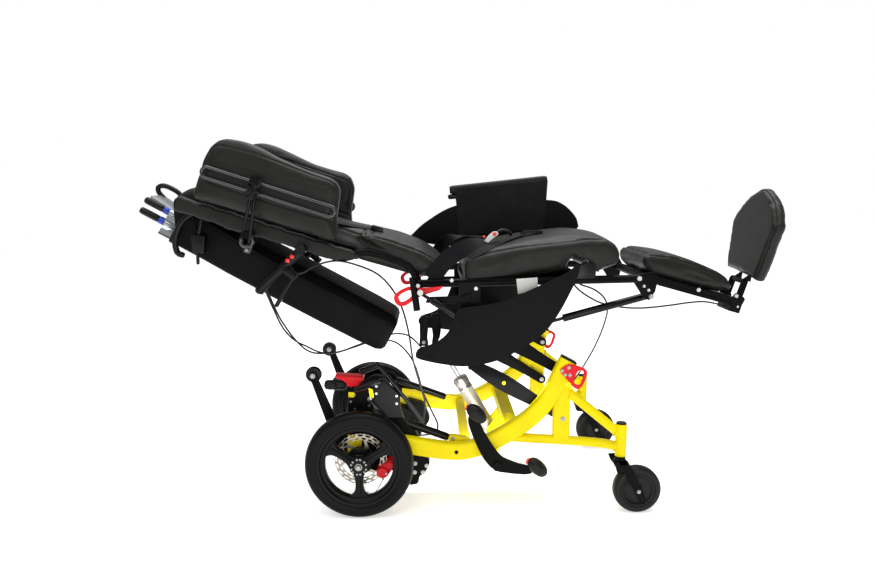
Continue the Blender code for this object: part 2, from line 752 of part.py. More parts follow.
# Rear wheels
spin_axis = Vector((0, 1, 0))
tyre_profile = [(bead_radius + seat_gap, -0.35 * tyre_width),
                (0.45 * (bead_radius + wheel_radius), -0.47 * tyre_width),
                (bead_radius + 0.5 * (wheel_radius - bead_radius), -0.5 * tyre_width),
                (wheel_radius - tyre_shoulder, -0.41 * tyre_width),
                (wheel_radius - tyre_crown, -0.2 * tyre_width), (wheel_radius, 0)]
tyre_profile += [(radius, -height) for radius, height in reversed(tyre_profile[:-1])]
for hand, side in hands:
    axle = Vector((rear_axle_x, side * wheel_half, wheel_radius))
    place(hand + "_tyre", turned(tyre_profile, axle, spin_axis, 40, ring=True), "rubber", axle)
    disc_y = wheel_half - disc_inset
    flange_face = disc_y + disc_thickness / 2 + seat_gap - wheel_half
    bore = spindle_radius + seat_gap
    hub = turned([(bore, side * hub_half), (hub_radius, side * hub_half), (hub_radius, side * -hub_neck),
                  (disc_flange_radius, side * -hub_step), (disc_flange_radius, side * flange_face),
                  (bore, side * flange_face)], axle, spin_axis, 28, ring=True)
    rim_bore = bead_radius - rim_depth
    ring = turned([(rim_bore, -rim_width / 2), (bead_radius, -rim_width / 2),
                   (bead_radius, rim_width / 2), (rim_bore, rim_width / 2)], axle, spin_axis, 40, ring=True)
    spokes = []
    for turn in range(spoke_count):
        angle = -math.pi / 2 + 2 * math.pi * turn / spoke_count
        forward = (math.cos(angle), math.sin(angle))
        to_spoke = along_axis((axle.x, axle.z), forward, (-forward[1], forward[0]))
        spoke_start = hub_radius - spoke_root
        spoke_end = rim_bore + spoke_into_rim
        corners = [(spoke_start, -spoke_width / 2), (spoke_end, -spoke_width / 2),
                   (spoke_end, spoke_width / 2), (spoke_start, spoke_width / 2)]
        outline = [(to_spoke(a, b, 0).x, to_spoke(a, b, 0).z) for a, b in corners]
        spokes.append(slab(outline, axle.y - spoke_half, axle.y + spoke_half))
    place(hand + "_rim", fuse(hub, ring, *spokes), "black_plastic", axle)
    disc_centre = Vector((axle.x, side * disc_y, axle.z))
    half = disc_thickness / 2
    disc = turned([(disc_hole, -half), (disc_radius, -half), (disc_radius, half), (disc_hole, half)],
                  disc_centre, spin_axis, 32, ring=True)
    place(hand + "_brake_disc", disc, "steel", disc_centre)
    length, depth, height = caliper_size
    caliper_x = axle.x + caliper_reach
    caliper_z = axle.z - caliper_drop
    caliper = box((caliper_x - length / 2, caliper_x + length / 2),
                  ordered(side, carrier_outer + seat_gap, carrier_outer + depth + caliper_over),
                  (caliper_z - height / 2, caliper_z + height / 2))
    slot_radius = disc_radius + caliper_slot_clear
    slot = turned([(slot_radius, -caliper_slot / 2), (slot_radius, caliper_slot / 2)],
                  disc_centre, spin_axis, 32)
    place(hand + "_brake_caliper", cut(caliper, slot), "red_paint")

# Casters
for hand, side in hands:
    y = side * caster_half
    axle = Vector((caster_stem_x + caster_trail, y, caster_radius))
    stem = Vector((caster_stem_x, y, housing_bottom))
    inner = caster_width / 2 + fork_side_gap
    crown_low = housing_bottom - fork_crown - fork_crown_gap
    neck = rod((stem.x, y, crown_low + weld), (stem.x, y, housing_bottom - seat_gap), fork_neck_radius)
    crown = box((stem.x - fork_half_width - fork_crown_back, stem.x + fork_half_width + fork_crown_front),
                (y - inner - fork_plate, y + inner + fork_plate), (crown_low, crown_low + fork_crown))
    leg_top = (stem.x + fork_crown_back, crown_low + 0.4 * fork_crown)
    legs = [link_bar(leg_top, (axle.x, axle.z), fork_half_width,
                     *sorted((y + leg * inner, y + leg * (inner + fork_plate)))) for leg in (-1, 1)]
    pin_half = inner + fork_plate / 2
    pin = rod((axle.x, y - pin_half, axle.z), (axle.x, y + pin_half, axle.z), caster_axle_radius)
    place(hand + "_caster_fork", fuse(crown, neck, *legs, pin), "black_paint", stem)
    half = caster_width / 2
    bore = caster_axle_radius + seat_gap
    side_profile = [(bore, half + weld), (caster_hub_radius, half + weld),
                    (caster_web[0], half - caster_web_recess), (caster_web[1], half - caster_web_recess),
                    (caster_rim_inner, half), (caster_radius - caster_shoulder, half),
                    (caster_radius, half - caster_tread_edge)]
    profile = [(radius, -height) for radius, height in side_profile] + list(reversed(side_profile))
    wheel = turned(profile, axle, spin_axis, 24, ring=True)
    place(hand + "_caster_wheel", wheel, "rubber", axle)

# Anti-tip arms, folded up, with their rollers
for hand, side in hands:
    arm_out = carrier_inner - seat_gap
    arm_width = ordered(side, arm_out - antitip_thickness, arm_out)
    arm_shape = link_bar(antitip_pivot, antitip_tip, antitip_half, *arm_width)
    roller_out = arm_out - antitip_thickness - seat_gap
    place(hand + "_antitip_arm", arm_shape, "black_paint", at(antitip_pivot, side * arm_out))
    roller = turned([(roller_radius - roller_round, 0), (roller_radius, roller_round),
                     (roller_radius, roller_width - roller_round),
                     (roller_radius - roller_round, roller_width)],
                    at(antitip_tip, side * roller_out), (0, -side, 0), 24)
    place(hand + "_antitip_roller", roller, "rubber", at(antitip_tip, side * roller_out))

# Parking-brake pedal beside the carrier's right ear
pedal_near = -(carrier_inner - seat_gap)
pedal_plate = link_bar(pedal_pivot, pedal_bar, pedal_thickness, pedal_near, pedal_near + pedal_width)
pedal_grip = rod((pedal_bar[0], pedal_near - pedal_bar_beyond, pedal_bar[1]),
                 (pedal_bar[0], pedal_near + pedal_width + pedal_bar_beyond, pedal_bar[1]),
                 pedal_bar_radius, 12)
place("brake_pedal", fuse(pedal_plate, pedal_grip), "red_paint", at(pedal_pivot, pedal_near))

# Pump lever outside the right side frame, on the pump shaft
pump_inner = beam_outer + pump_clear
pump_y = (-pump_inner - pump_plate, -pump_inner)
pump_parts = [link_bar(pump_pivot, pump_upper_pad, pump_arm_half, *pump_y),
              link_bar(pump_pivot, pump_lower_pad, pump_arm_half, *pump_y),
              turned([(pump_boss_radius, 0), (pump_boss_radius, pump_plate + pump_boss_proud)],
                     at(pump_pivot, -pump_inner), (0, -1, 0)),
              rod(at(pump_pivot, -pump_inner - weld), at(pump_pivot, -pump_ear_y - seat_gap),
                  pump_shaft_radius)]
for pad in (pump_upper_pad, pump_lower_pad):
    wide, deep, high = pump_pad_size
    centre = at(pad, -pump_inner - pump_pad_out)
    loops = []
    turns = [2 * math.pi * k / sides_round for k in range(sides_round)]
    for ring_angle in pump_pad_rings:
        spread = math.cos(math.radians(ring_angle))
        lift = math.sin(math.radians(ring_angle)) * high
        loops.append([centre + Vector((wide * spread * math.cos(turn), deep * spread * math.sin(turn), lift))
                      for turn in turns])
    pump_parts.append(loft(loops))
place("pump_lever", fuse(*pump_parts), "black_paint", at(pump_pivot, -pump_inner))

# Lift links and seat carrier
link_run = Vector((-math.cos(link_rise), math.sin(link_rise))) * link_length
link_outer = beam_inner - seat_gap
link_inner = link_outer - link_plate
lower_front = (link_front_x, link_lower_z)
upper_front = (link_front_x, link_lower_z + link_spacing)
lower_rear = (lower_front[0] + link_run.x, lower_front[1] + link_run.y)
upper_rear = (upper_front[0] + link_run.x, upper_front[1] + link_run.y)
for hand, side in hands:
    for level, front, rear in (("lower", lower_front, lower_rear), ("upper", upper_front, upper_rear)):
        bar = link_bar(front, rear, link_half, *ordered(side, link_inner, link_outer))
        place(hand + "_" + level + "_link", bar, "black_paint", at(front, side * link_outer))
seat_carrier_half = link_inner - seat_gap
tilt_axis = (lower_rear[0], upper_rear[1] + tilt_rise)
carrier_x = (lower_rear[0] - carrier_thickness / 2, lower_rear[0] + carrier_thickness / 2)
carrier_bottom = lower_rear[1] - carrier_below
carrier_wall = box(carrier_x, (-seat_carrier_half, seat_carrier_half), (carrier_bottom, tilt_axis[1]))
tilt_tube = rod(at(tilt_axis, -seat_carrier_half), at(tilt_axis, seat_carrier_half), tilt_tube_radius)
lug_near = lift_rod_radius + seat_gap
lug_root = (lower_rear[0], lift_lug_root)
lugs = [link_bar(lift_lug, lug_root, lift_lug_radius, *ordered(side, lug_near, lug_near + lift_lug_plate))
        for side in (-1, 1)]
notch_x = (carrier_x[0] - carrier_notch_clear, carrier_x[1] + carrier_notch_clear)
cylinder_notch = box(notch_x, (-carrier_notch_half, carrier_notch_half),
                     (carrier_bottom - carrier_notch_clear, carrier_notch_top))
carrier_shape = fuse(cut(carrier_wall, cylinder_notch), tilt_tube, *lugs)
place("seat_carrier", carrier_shape, "black_paint", at(lower_rear, 0))

# Lift cylinder and rod, the rod's eye open between the carrier's two lugs
reach = Vector(lift_lug) - Vector(cylinder_pivot)
heading = reach.normalized()
to_cylinder = along_axis(cylinder_pivot, heading, (-heading.y, heading.x))
barrel = pipe(to_cylinder(0, 0, 0), to_cylinder(cylinder_length, 0, 0), cylinder_radius,
              lift_rod_radius + seat_gap, cylinder_bore_floor)
eye_half = ear_half_gap - seat_gap
eye = rod(at(cylinder_pivot, -eye_half), at(cylinder_pivot, eye_half), cylinder_eye_radius)
place("lift_cylinder", fuse(barrel, eye), "aluminium", at(cylinder_pivot, 0))
rod_start = to_cylinder(cylinder_length - lift_rod_buried, 0, 0)
place("lift_rod", rod(rod_start, to_cylinder(reach.length, 0, 0), lift_rod_radius),
      "steel", to_cylinder(cylinder_length, 0, 0))

# Seat frame
rail_heading = (Vector(leg_axis) - Vector(recline_axis)).normalized()


def rail_z(x):
    return recline_axis[1] + (x - recline_axis[0]) * rail_heading.y / rail_heading.x


rails = [rod(at(recline_axis, side * seat_rail_y), at(leg_axis, side * seat_rail_y), seat_rail_radius)
         for side in (-1, 1)]
pan_low, pan_high = -pan_thickness / 2, pan_thickness / 2
pan = slab([(pan_back, rail_z(pan_back) + pan_low), (pan_front, rail_z(pan_front) + pan_low),
            (pan_front, rail_z(pan_front) + pan_high), (pan_back, rail_z(pan_back) + pan_high)],
           -seat_rail_y, seat_rail_y)
seat_parts = rails[1:] + [pan]
lug_low = seat_rail_y + seat_rail_radius - strut_lug_plate
for side in (-1, 1):
    block_y = (side * tilt_block_y - tilt_block_width / 2, side * tilt_block_y + tilt_block_width / 2)
    block_x = (tilt_axis[0] - tilt_block_length / 2, tilt_axis[0] + tilt_block_length / 2)
    seat_parts.append(box(block_x, block_y,
                          (tilt_axis[1] + tilt_tube_radius + seat_gap, rail_z(tilt_axis[0]))))
    plate_y = ordered(side, lug_low, lug_low + strut_lug_plate)
    lug_outline = [(strut_pivot[0] + strut_lug_radius, strut_pivot[1]), (strut_lug_front, guard_rear_stud[1]),
                   (strut_lug_front, rail_z(strut_lug_front)), (strut_lug_rear, rail_z(strut_lug_rear)),
                   (strut_lug_rear, guard_rear_stud[1]), (strut_pivot[0] - strut_lug_radius, strut_pivot[1]),
                   (strut_pivot[0], strut_pivot[1] - strut_lug_radius)]
    seat_parts.append(slab(lug_outline, *plate_y))
    for stud in (guard_rear_stud, (guard_front_stud_x, rail_z(guard_front_stud_x))):
        seat_parts.append(rod(at(stud, side * (lug_low + weld)), at(stud, side * (guard_y - seat_gap)),
                              guard_stud_radius, 10))
recline_inner_face = recline_strut_y - recline_tube_radius
seat_parts.append(rod(at(strut_pivot, -lug_low - weld), at(strut_pivot, -recline_inner_face + seat_gap),
                      recline_pin_radius, 10))
leg_lug_near = leg_rod_radius + seat_gap - leg_strut_y
leg_lug_root = (leg_lug[0], rail_z(leg_lug[0]) - leg_lug_radius)
seat_parts.append(link_bar(leg_lug, leg_lug_root, leg_lug_radius, leg_lug_near, leg_lug_near + leg_lug_plate))
arm_socket_top = rail_z(arm_stem_x[0]) + arm_socket_depth / 2
socket_x = (arm_stem_x[0] - arm_socket_wall, arm_stem_x[1] + arm_socket_wall)
seat_parts.append(box(socket_x, (seat_rail_y, arm_y + arm_panel_thickness + arm_socket_clear),
                      (arm_socket_top - arm_socket_depth, arm_socket_top)))
place("seat_frame", fuse(rails[0], *seat_parts), "black_paint", at(tilt_axis, 0))

# Seat cushion, guards and rear tie-downs
cushion_base = rail_z(pan_back) + pan_high + seat_gap
pan_rise = rail_heading.y / rail_heading.x
seat_outline = [(x, cushion_base + x * pan_rise + z) for x, z in seat_cushion_profile]


def side_view(a, b, depth):
    return Vector((a, depth, b))


place("seat_cushion", pillow(seat_outline, seat_cushion_half, seat_cushion_edge, seat_cushion_crown,
                             cushion_draw, side_view), "leatherette")
for hand, side in hands:
    guard = slab(guard_outline, *ordered(side, guard_y, guard_y + guard_thickness))
    place(hand + "_side_guard", guard, "black_plastic")
    tie_face = lug_low + strut_lug_plate + seat_gap
    tie_y = ordered(side, tie_face, tie_face + tie_plate)
    hole_y = ordered(side, tie_face - tie_plate, tie_face + 2 * tie_plate)
    tie_down = cut(slab(rear_tie_outline, *tie_y), slab(rear_tie_hole, *hole_y))
    place(hand + "_rear_tie_down", tie_down, "red_paint")

# Recline strut on the right side, its rod's eye open at the back's lever pin
eye_point = (recline_axis[0] + recline_eye[0], recline_axis[1] + recline_eye[1])
reach = Vector(eye_point) - Vector(strut_pivot)
heading = reach.normalized()
to_strut = along_axis(strut_pivot, heading, (-heading.y, heading.x))
strut_y = -recline_strut_y
strut_tube = pipe(to_strut(-recline_tube_radius, 0, strut_y), to_strut(recline_tube_length, 0, strut_y),
                  recline_tube_radius, recline_rod_radius + seat_gap, recline_bore_floor)
place("recline_strut_tube", strut_tube, "black_paint", at(strut_pivot, strut_y))
strut_rod = rod(to_strut(recline_tube_length - recline_rod_buried, 0, strut_y),
                to_strut(reach.length - recline_pin_radius - open_pivot_gap, 0, strut_y),
                recline_rod_radius, 12)
place("recline_strut_rod", strut_rod, "steel", to_strut(recline_tube_length, 0, strut_y))

# Back frame with the lateral brackets, the recline lever and a grab hook
back_forward = (-math.cos(back_slope), math.sin(back_slope))
back_up = (math.sin(back_slope), math.cos(back_slope))
to_back = along_axis(recline_axis, back_forward, back_up)


def back_slab(outline, y_low, y_high):
    return loft([[to_back(a, b, y) for a, b in outline] for y in (y_low, y_high)])


def back_box(s_range, t_range, y_range):
    return back_slab([(s_range[0], t_range[0]), (s_range[1], t_range[0]), (s_range[1], t_range[1]),
                      (s_range[0], t_range[1])], *y_range)


back_pan_low = -back_pan_thickness / 2
back_pan = back_box((back_pan_start, back_length), (back_pan_low, -back_pan_low), (-back_rail_y, back_rail_y))
bracket_inner = lateral_outer + lateral_rod_out + lateral_rod_radius + seat_gap
bracket_s = (lateral_bracket_s - lateral_bracket_half, lateral_bracket_s + lateral_bracket_half)
upright_s = (bracket_s[0] + lateral_bracket_inset, bracket_s[1] - lateral_bracket_inset)
back_parts = []
for side in (-1, 1):
    rail_y = side * back_rail_y
    rail_route = [to_back(a, b, rail_y) for a, b in back_rail_crank]
    rail_end = to_back(back_length - back_rail_short, 0, rail_y)
    back_parts.append(tube(smooth_route(rail_route, back_rail_step) + [rail_end], back_rail_radius, 12))
    back_parts.append(back_box(bracket_s, (-lateral_bracket_foot, 0),
                               ordered(side, back_rail_y, bracket_inner + lateral_bracket_weld)))
    upright_t = (-lateral_bracket_foot + lateral_bracket_inset, lateral_bracket_top)
    back_parts.append(back_box(upright_s, upright_t,
                               ordered(side, bracket_inner, bracket_inner + lateral_bracket_plate)))
lever_y = -(back_rail_y + back_rail_radius + lever_side_gap)
back_parts.append(link_bar(recline_axis, eye_point, lever_radius, lever_y, lever_y + lever_plate))
back_parts.append(rod(at(eye_point, lever_y + lever_pin_root), at(eye_point, strut_y - recline_tube_radius),
                      recline_pin_radius, 12))
for side in (-1, 1):
    boss_y = side * (seat_rail_y - seat_rail_radius - seat_gap)
    back_parts.append(rod(at(recline_axis, side * back_rail_y), at(recline_axis, boss_y),
                          back_rail_radius - back_boss_step, 12))
hook = [to_back(a, b, -hook_y) for a, b in hook_route]
back_parts.append(tube(smooth_route(hook, hook_step), hook_radius))
place("back_frame", fuse(back_pan, *back_parts), "black_paint", at(recline_axis, 0))
place("back_cushion", pillow(back_cushion_profile, back_cushion_half, back_cushion_edge, back_cushion_crown,
                             cushion_draw, to_back), "leatherette", at(recline_axis, 0))

# Lateral pads with their rod loops
for hand, side in hands:
    middle = side * (lateral_inner + lateral_outer) / 2
    pad = pillow(lateral_profile, (lateral_outer - lateral_inner) / 2, lateral_edge, -cushion_draw / 2,
                 -lateral_crown, lambda a, b, depth: to_back(a, b, middle + depth))
    rod_y = side * (lateral_outer + lateral_rod_out)
    rod_middle = (lateral_rod_low + lateral_rod_high) / 2
    loop_outline = stadium((lateral_rod_back, rod_middle), (lateral_rod_head, rod_middle),
                           (lateral_rod_high - lateral_rod_low) / 2, 8)
    loop = tube([to_back(a, b, rod_y) for a, b in loop_outline], lateral_rod_radius, 8, ring=True)
    posts = [rod(to_back(s, lateral_rod_low, middle), to_back(s, lateral_rod_low, rod_y),
                 lateral_rod_radius, 10)
             for s in (lateral_rod_back + lateral_post_inset, lateral_rod_head - lateral_post_inset)]
    place(hand + "_lateral_pad", fuse(pad, loop, *posts), "leatherette",
          to_back(lateral_bracket_s, 0, middle))

# Push handles with brake levers
handle_y = back_rail_y + back_rail_radius + seat_gap + handle_clamp_radius
for hand, side in hands:
    start = to_back(*handle_root, side * handle_y)
    finish = to_back(*handle_end, side * handle_y)
    clamp = rod(start - Vector((0, handle_clamp_radius, 0)), start + Vector((0, handle_clamp_radius, 0)),
                handle_clamp_radius)
    bracket_root = start.lerp(finish, lever_bracket_share)
    bracket = link_bar((bracket_root.x, bracket_root.z), lever_pivot, lever_half,
                       *ordered(side, handle_y + lever_thickness / 2 + seat_gap, handle_y + lever_thickness))
    place(hand + "_push_handle", fuse(rod(start, finish, handle_radius), clamp, bracket), "rubber", start)
    lever_edges = ordered(side, handle_y - lever_thickness / 2, handle_y + lever_thickness / 2)
    place(hand + "_brake_lever", link_bar(lever_pivot, lever_tip, lever_half, *lever_edges), "black_paint",
          at(lever_pivot, side * handle_y))

# Bag hung under the back's head end, with a folded ramp in it
bag_forward = (math.cos(bag_slope), -math.sin(bag_slope))
bag_up = (math.sin(bag_slope), math.cos(bag_slope))
mouth_top = to_back(bag_seat_s, back_pan_low - seat_gap, 0)
bag_origin = (mouth_top.x - bag_up[0] * bag_mouth_half, mouth_top.z - bag_up[1] * bag_mouth_half)
to_bag = along_axis(bag_origin, bag_forward, bag_up)


def bag_section(u, half_high, half_wide, corner):
    loop = []
    for across, up in ((1, -1), (1, 1), (-1, 1), (-1, -1)):
        first = math.atan2(up, across) - math.pi / 4
        for step in range(4):
            angle = first + math.pi / 2 * step / 3
            loop.append(to_bag(u, up * (half_high - corner) + corner * math.sin(angle),
                               across * (half_wide - corner) + corner * math.cos(angle)))
    return loop


outer_bag = loft([bag_section(0, bag_mouth_half, bag_half_width, bag_corner),
                  bag_section(bag_shoulder, bag_body_half, bag_half_width, bag_corner),
                  bag_section(bag_length - bag_corner, bag_body_half, bag_half_width, bag_corner),
                  bag_section(bag_length, bag_body_half - bag_corner / 2, bag_half_width - bag_corner / 2,
                              bag_corner)])
bag_inside_half = bag_mouth_half - bag_wall
bag_hollow = loft([bag_section(u, bag_inside_half, bag_half_width - bag_wall, bag_corner)
                   for u in (-bag_mouth_over, bag_depth)])
place("ramp_bag", cut(outer_bag, bag_hollow), "fabric", at(recline_axis, 0))


def ramp_box(u_range, v_range, half):
    outline = [(u_range[0], v_range[0]), (u_range[1], v_range[0]),
               (u_range[1], v_range[1]), (u_range[0], v_range[1])]
    return loft([[to_bag(a, b, y) for a, b in outline] for y in (-half, half)])


leaf_low = -bag_inside_half + seat_gap
ramp_end = ramp_mouth + ramp_length
leaf_high = leaf_low + leaf_thickness + leaf_gap
lower_leaf = ramp_box((ramp_mouth, ramp_end), (leaf_low, leaf_low + leaf_thickness), ramp_half_width)
upper_leaf = ramp_box((ramp_mouth, ramp_end - leaf_trim), (leaf_high, leaf_high + leaf_thickness),
                      ramp_half_width - leaf_trim)
knuckle = ramp_box((ramp_end - knuckle_length, ramp_end - weld), (leaf_low + weld, leaf_high + knuckle_rise),
                   ramp_half_width - knuckle_side)
ramp_parts = [upper_leaf, knuckle]
for level in (leaf_low, leaf_high):
    v = level + leaf_thickness / 2
    ramp_parts.append(rod(to_bag(ramp_mouth - grip_length, v, grip_y),
                          to_bag(ramp_mouth + grip_root, v, grip_y), grip_radius, 12))
plate_low = leaf_high + leaf_thickness - ramp_plate_sink
plate_start = ramp_mouth - ramp_plate_length * ramp_plate_outside
plate_end = plate_start + ramp_plate_length
ramp_parts.append(ramp_box((plate_start, plate_end), (plate_low, plate_low + ramp_plate_thickness),
                           ramp_plate_half))
loop_route = [(plate_start + ramp_loop_along[0], plate_low + ramp_loop_foot),
              (plate_start + ramp_loop_along[1], plate_low + ramp_loop_shoulder),
              (plate_start + ramp_loop_along[2], plate_low + ramp_loop_rise),
              (plate_end - ramp_loop_return[0], plate_low + ramp_loop_rise),
              (plate_end - ramp_loop_return[1], plate_low + ramp_loop_foot)]
loop_points = smooth_route([to_bag(a, b, grip_y) for a, b in loop_route], ramp_loop_step)
ramp_parts.append(tube(loop_points, ramp_loop_radius, 8))
folded_ramp = place("folded_ramp", fuse(lower_leaf, *ramp_parts), "aluminium", to_bag(0, 0, 0))

# Left armrest: rounded guard, cloth panel and pad on one stem in the seat frame's socket
arm_stem = [(arm_stem_x[0], arm_socket_top + seat_gap), (arm_stem_x[1], arm_socket_top + seat_gap),
            (arm_stem_x[1], arm_stem_top), (arm_stem_x[0], arm_stem_top)]
pad_route = [arm_pad_start, between(arm_pad_start, arm_pad_end, 0.5), arm_pad_end]
arm_parts = [slab(arm_stem, arm_y + arm_overlap, arm_y + arm_panel_thickness - arm_overlap),
             slab(arm_cloth, arm_y - arm_cloth_thickness, arm_y + arm_overlap),
             swept_beam(pad_route, arm_pad_depth, arm_pad_width, arm_pad_chamfer,
                        arm_y + arm_pad_width / 2 - arm_pad_sink)]
arm_shape = fuse(slab(arm_outline, arm_y, arm_y + arm_panel_thickness), *arm_parts)
place("left_armrest", arm_shape, "black_plastic", (arm_stem_x[0], arm_y, arm_socket_top))

# Leg rest
leg_forward = (math.cos(leg_slope), -math.sin(leg_slope))
leg_up = (math.sin(leg_slope), math.cos(leg_slope))
to_leg = along_axis(leg_axis, leg_forward, leg_up)


def leg_slab(outline, y_low, y_high):
    return loft([[to_leg(a, b, y) for a, b in outline] for y in (y_low, y_high)])


def leg_box(l_range, t_range, y_range):
    return leg_slab([(l_range[0], t_range[0]), (l_range[1], t_range[0]), (l_range[1], t_range[1]),
                     (l_range[0], t_range[1])], *y_range)


leg_outer = seat_rail_y - seat_rail_radius - seat_gap
leg_inner = leg_outer - leg_plate
leg_parts = [leg_box((leg_board_start, leg_board_end), (leg_board_low, leg_board_high),
                     (-leg_board_half, leg_board_half))]
for side in (-1, 1):
    leg_parts.append(loft([[Vector((leg_axis[0] + a, y, leg_axis[1] + b)) for a, b in leg_plate_outline]
                           for y in ordered(side, leg_inner, leg_outer)]))
cross_end = leg_inner + weld
leg_parts.append(rod(to_leg(leg_cross_at, leg_cross_rise, -cross_end),
                     to_leg(leg_cross_at, leg_cross_rise, cross_end), leg_cross_radius, 12))
ball = (leg_axis[0] + leg_ball[0], leg_axis[1] + leg_ball[1])
leg_parts.append(rod(at(ball, -cross_end), at(ball, -leg_strut_y - leg_strut_radius - seat_gap),
                     leg_pin_radius, 10))
place("leg_frame", fuse(*leg_parts), "black_paint", at(leg_axis, 0))
place("calf_pad", pillow(calf_profile, calf_half, calf_edge, calf_crown, cushion_draw, to_leg),
      "leatherette", at(leg_axis, 0))

# Leg strut, its rod's eye open beside the seat frame's lug
reach = Vector(leg_lug) - Vector(ball)
heading = reach.normalized()
to_leg_strut = along_axis(ball, heading, (-heading.y, heading.x))
strut_tube = pipe(to_leg_strut(-leg_strut_radius, 0, -leg_strut_y),
                  to_leg_strut(leg_strut_length, 0, -leg_strut_y),
                  leg_strut_radius, leg_rod_radius + seat_gap, leg_bore_floor)
place("leg_strut_tube", strut_tube, "black_paint", at(ball, -leg_strut_y))
strut_rod = rod(to_leg_strut(leg_strut_length - leg_rod_buried, 0, -leg_strut_y),
                to_leg_strut(reach.length, 0, -leg_strut_y), leg_rod_radius, 12)
place("leg_strut_rod", strut_rod, "steel", to_leg_strut(leg_strut_length, 0, -leg_strut_y))

# Sliding foot carrier and padded foot board
slide_high = leg_board_low - seat_gap
slide_low = slide_high - slide_thickness
slide_parts = [leg_box((slide_block_start, slide_end),
                       (slide_low - slide_block_drop, slide_high + slide_block_rise),
                       (-slide_half + slide_trim, slide_half - slide_trim))]
foot_pivot = to_leg(*foot_axis, 0)
bar_foot = to_leg((slide_block_start + slide_end) / 2, slide_low + slide_thickness / 2, 0)
for side in (-1, 1):
    bar_y = ordered(side, foot_bar_y - foot_bar_thickness / 2, foot_bar_y + foot_bar_thickness / 2)
    slide_parts.append(link_bar((bar_foot.x, bar_foot.z), (foot_pivot.x, foot_pivot.z),
                                foot_bar_half, *bar_y))
slide_tongue = leg_box((slide_start, slide_end - weld), (slide_low, slide_high), (-slide_half, slide_half))
place("foot_slide", fuse(slide_tongue, *slide_parts), "black_paint", to_leg(slide_start, 0, 0))

foot_up = (math.sin(foot_lean), math.cos(foot_lean))
foot_out = (math.cos(foot_lean), -math.sin(foot_lean))
to_board = along_axis((foot_pivot.x, foot_pivot.z), foot_out, foot_up)
board_middle = foot_offset + foot_thickness / 2
board_outline = foot_outline + [(-y, rise) for y, rise in reversed(foot_outline[:-1])]
board = pillow(board_outline, foot_thickness / 2, foot_edge, 0, -foot_crown,
               lambda a, b, depth: to_board(board_middle + depth, foot_rise + b, a))
barrel_half = foot_bar_y - foot_bar_thickness / 2 - seat_gap
barrel = rod(foot_pivot - Vector((0, barrel_half, 0)), foot_pivot + Vector((0, barrel_half, 0)),
             foot_barrel_radius, 12)
neck_outline = [foot_neck_low, (board_middle, foot_neck_low[1]), (board_middle, foot_rise + foot_neck_rise),
                foot_neck_back]
neck = loft([[to_board(a, b, y) for a, b in neck_outline] for y in (-barrel_half + weld, barrel_half - weld)])
foot_board = place("foot_board", fuse(board, barrel, neck), "leatherette", foot_pivot)

# Cables held along their whole route
cable_step = 8 * cable_radius
carrier_face = -(carrier_inner - seat_gap)
release_end = [(x, carrier_face + y, z) for x, y, z in release_cable_end]
brake_end = [(x, carrier_face + y, z) for x, y, z in brake_cable_end]
place_cable("release_cable", release_cable_route + release_end, cable_step)
place_cable("brake_cable", brake_cable_route + brake_end, cable_step)
place_cable("caster_lock_cable", lock_cable_route, cable_step)
place_cable("leg_slide_cable", slide_cable_route, cable_step)

# The origin stands on the floor under the middle of the chair's length
bpy.context.view_layer.update()
reach = [(item.matrix_world @ vertex.co).x for item in (folded_ramp, foot_board)
         for vertex in item.data.vertices]
root.location.x = -(min(reach) + max(reach)) / 2
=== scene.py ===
# Transport chair, laid back and raised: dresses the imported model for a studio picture.
# Metres. Side-view numbers are the drawing's; spot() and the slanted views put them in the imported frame.
import json
import math

import bmesh
import bpy
import numpy as np
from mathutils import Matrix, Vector
from mathutils.kdtree import KDTree

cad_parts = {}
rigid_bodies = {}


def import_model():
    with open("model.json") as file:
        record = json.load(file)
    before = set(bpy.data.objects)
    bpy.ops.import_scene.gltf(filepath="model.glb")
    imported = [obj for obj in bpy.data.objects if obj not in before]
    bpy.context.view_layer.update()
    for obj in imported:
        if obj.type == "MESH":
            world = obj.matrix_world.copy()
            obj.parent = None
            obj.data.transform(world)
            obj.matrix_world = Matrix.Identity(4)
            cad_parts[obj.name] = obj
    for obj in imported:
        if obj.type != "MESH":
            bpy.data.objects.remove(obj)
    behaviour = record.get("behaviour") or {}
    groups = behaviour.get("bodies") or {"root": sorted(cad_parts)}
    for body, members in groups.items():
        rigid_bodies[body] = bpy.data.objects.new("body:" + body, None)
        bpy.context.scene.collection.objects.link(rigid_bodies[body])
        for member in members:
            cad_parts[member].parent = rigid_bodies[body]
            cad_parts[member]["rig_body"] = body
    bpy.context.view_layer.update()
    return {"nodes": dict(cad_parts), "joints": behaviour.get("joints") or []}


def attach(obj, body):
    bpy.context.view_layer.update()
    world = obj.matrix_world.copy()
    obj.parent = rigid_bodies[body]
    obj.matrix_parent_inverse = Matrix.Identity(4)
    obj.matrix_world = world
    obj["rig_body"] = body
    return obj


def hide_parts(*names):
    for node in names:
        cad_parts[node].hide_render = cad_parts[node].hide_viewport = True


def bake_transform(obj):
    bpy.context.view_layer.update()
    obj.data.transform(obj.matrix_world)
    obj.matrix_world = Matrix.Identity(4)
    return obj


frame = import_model()
jointAt = {j["name"]: Vector(j["pos_m"]) for j in frame["joints"] if "pos_m" in j}
hands = (("right", -1), ("left", 1))

shift = jointAt["recline"].x + 0.129  # drawing X of the recline hinge is -0.129


def spot(x, y, z):
    return Vector((x + shift, y, z))


def slant(origin, slope, heading=1):  # a tilted side view: along it, up from it, across the chair
    along = (heading * math.cos(slope), -heading * math.sin(slope))
    up = (math.sin(slope), math.cos(slope))

    def place(a, b, y=0.0):
        return Vector((origin.x + along[0] * a + up[0] * b, y, origin.z + along[1] * a + up[1] * b))

    return place


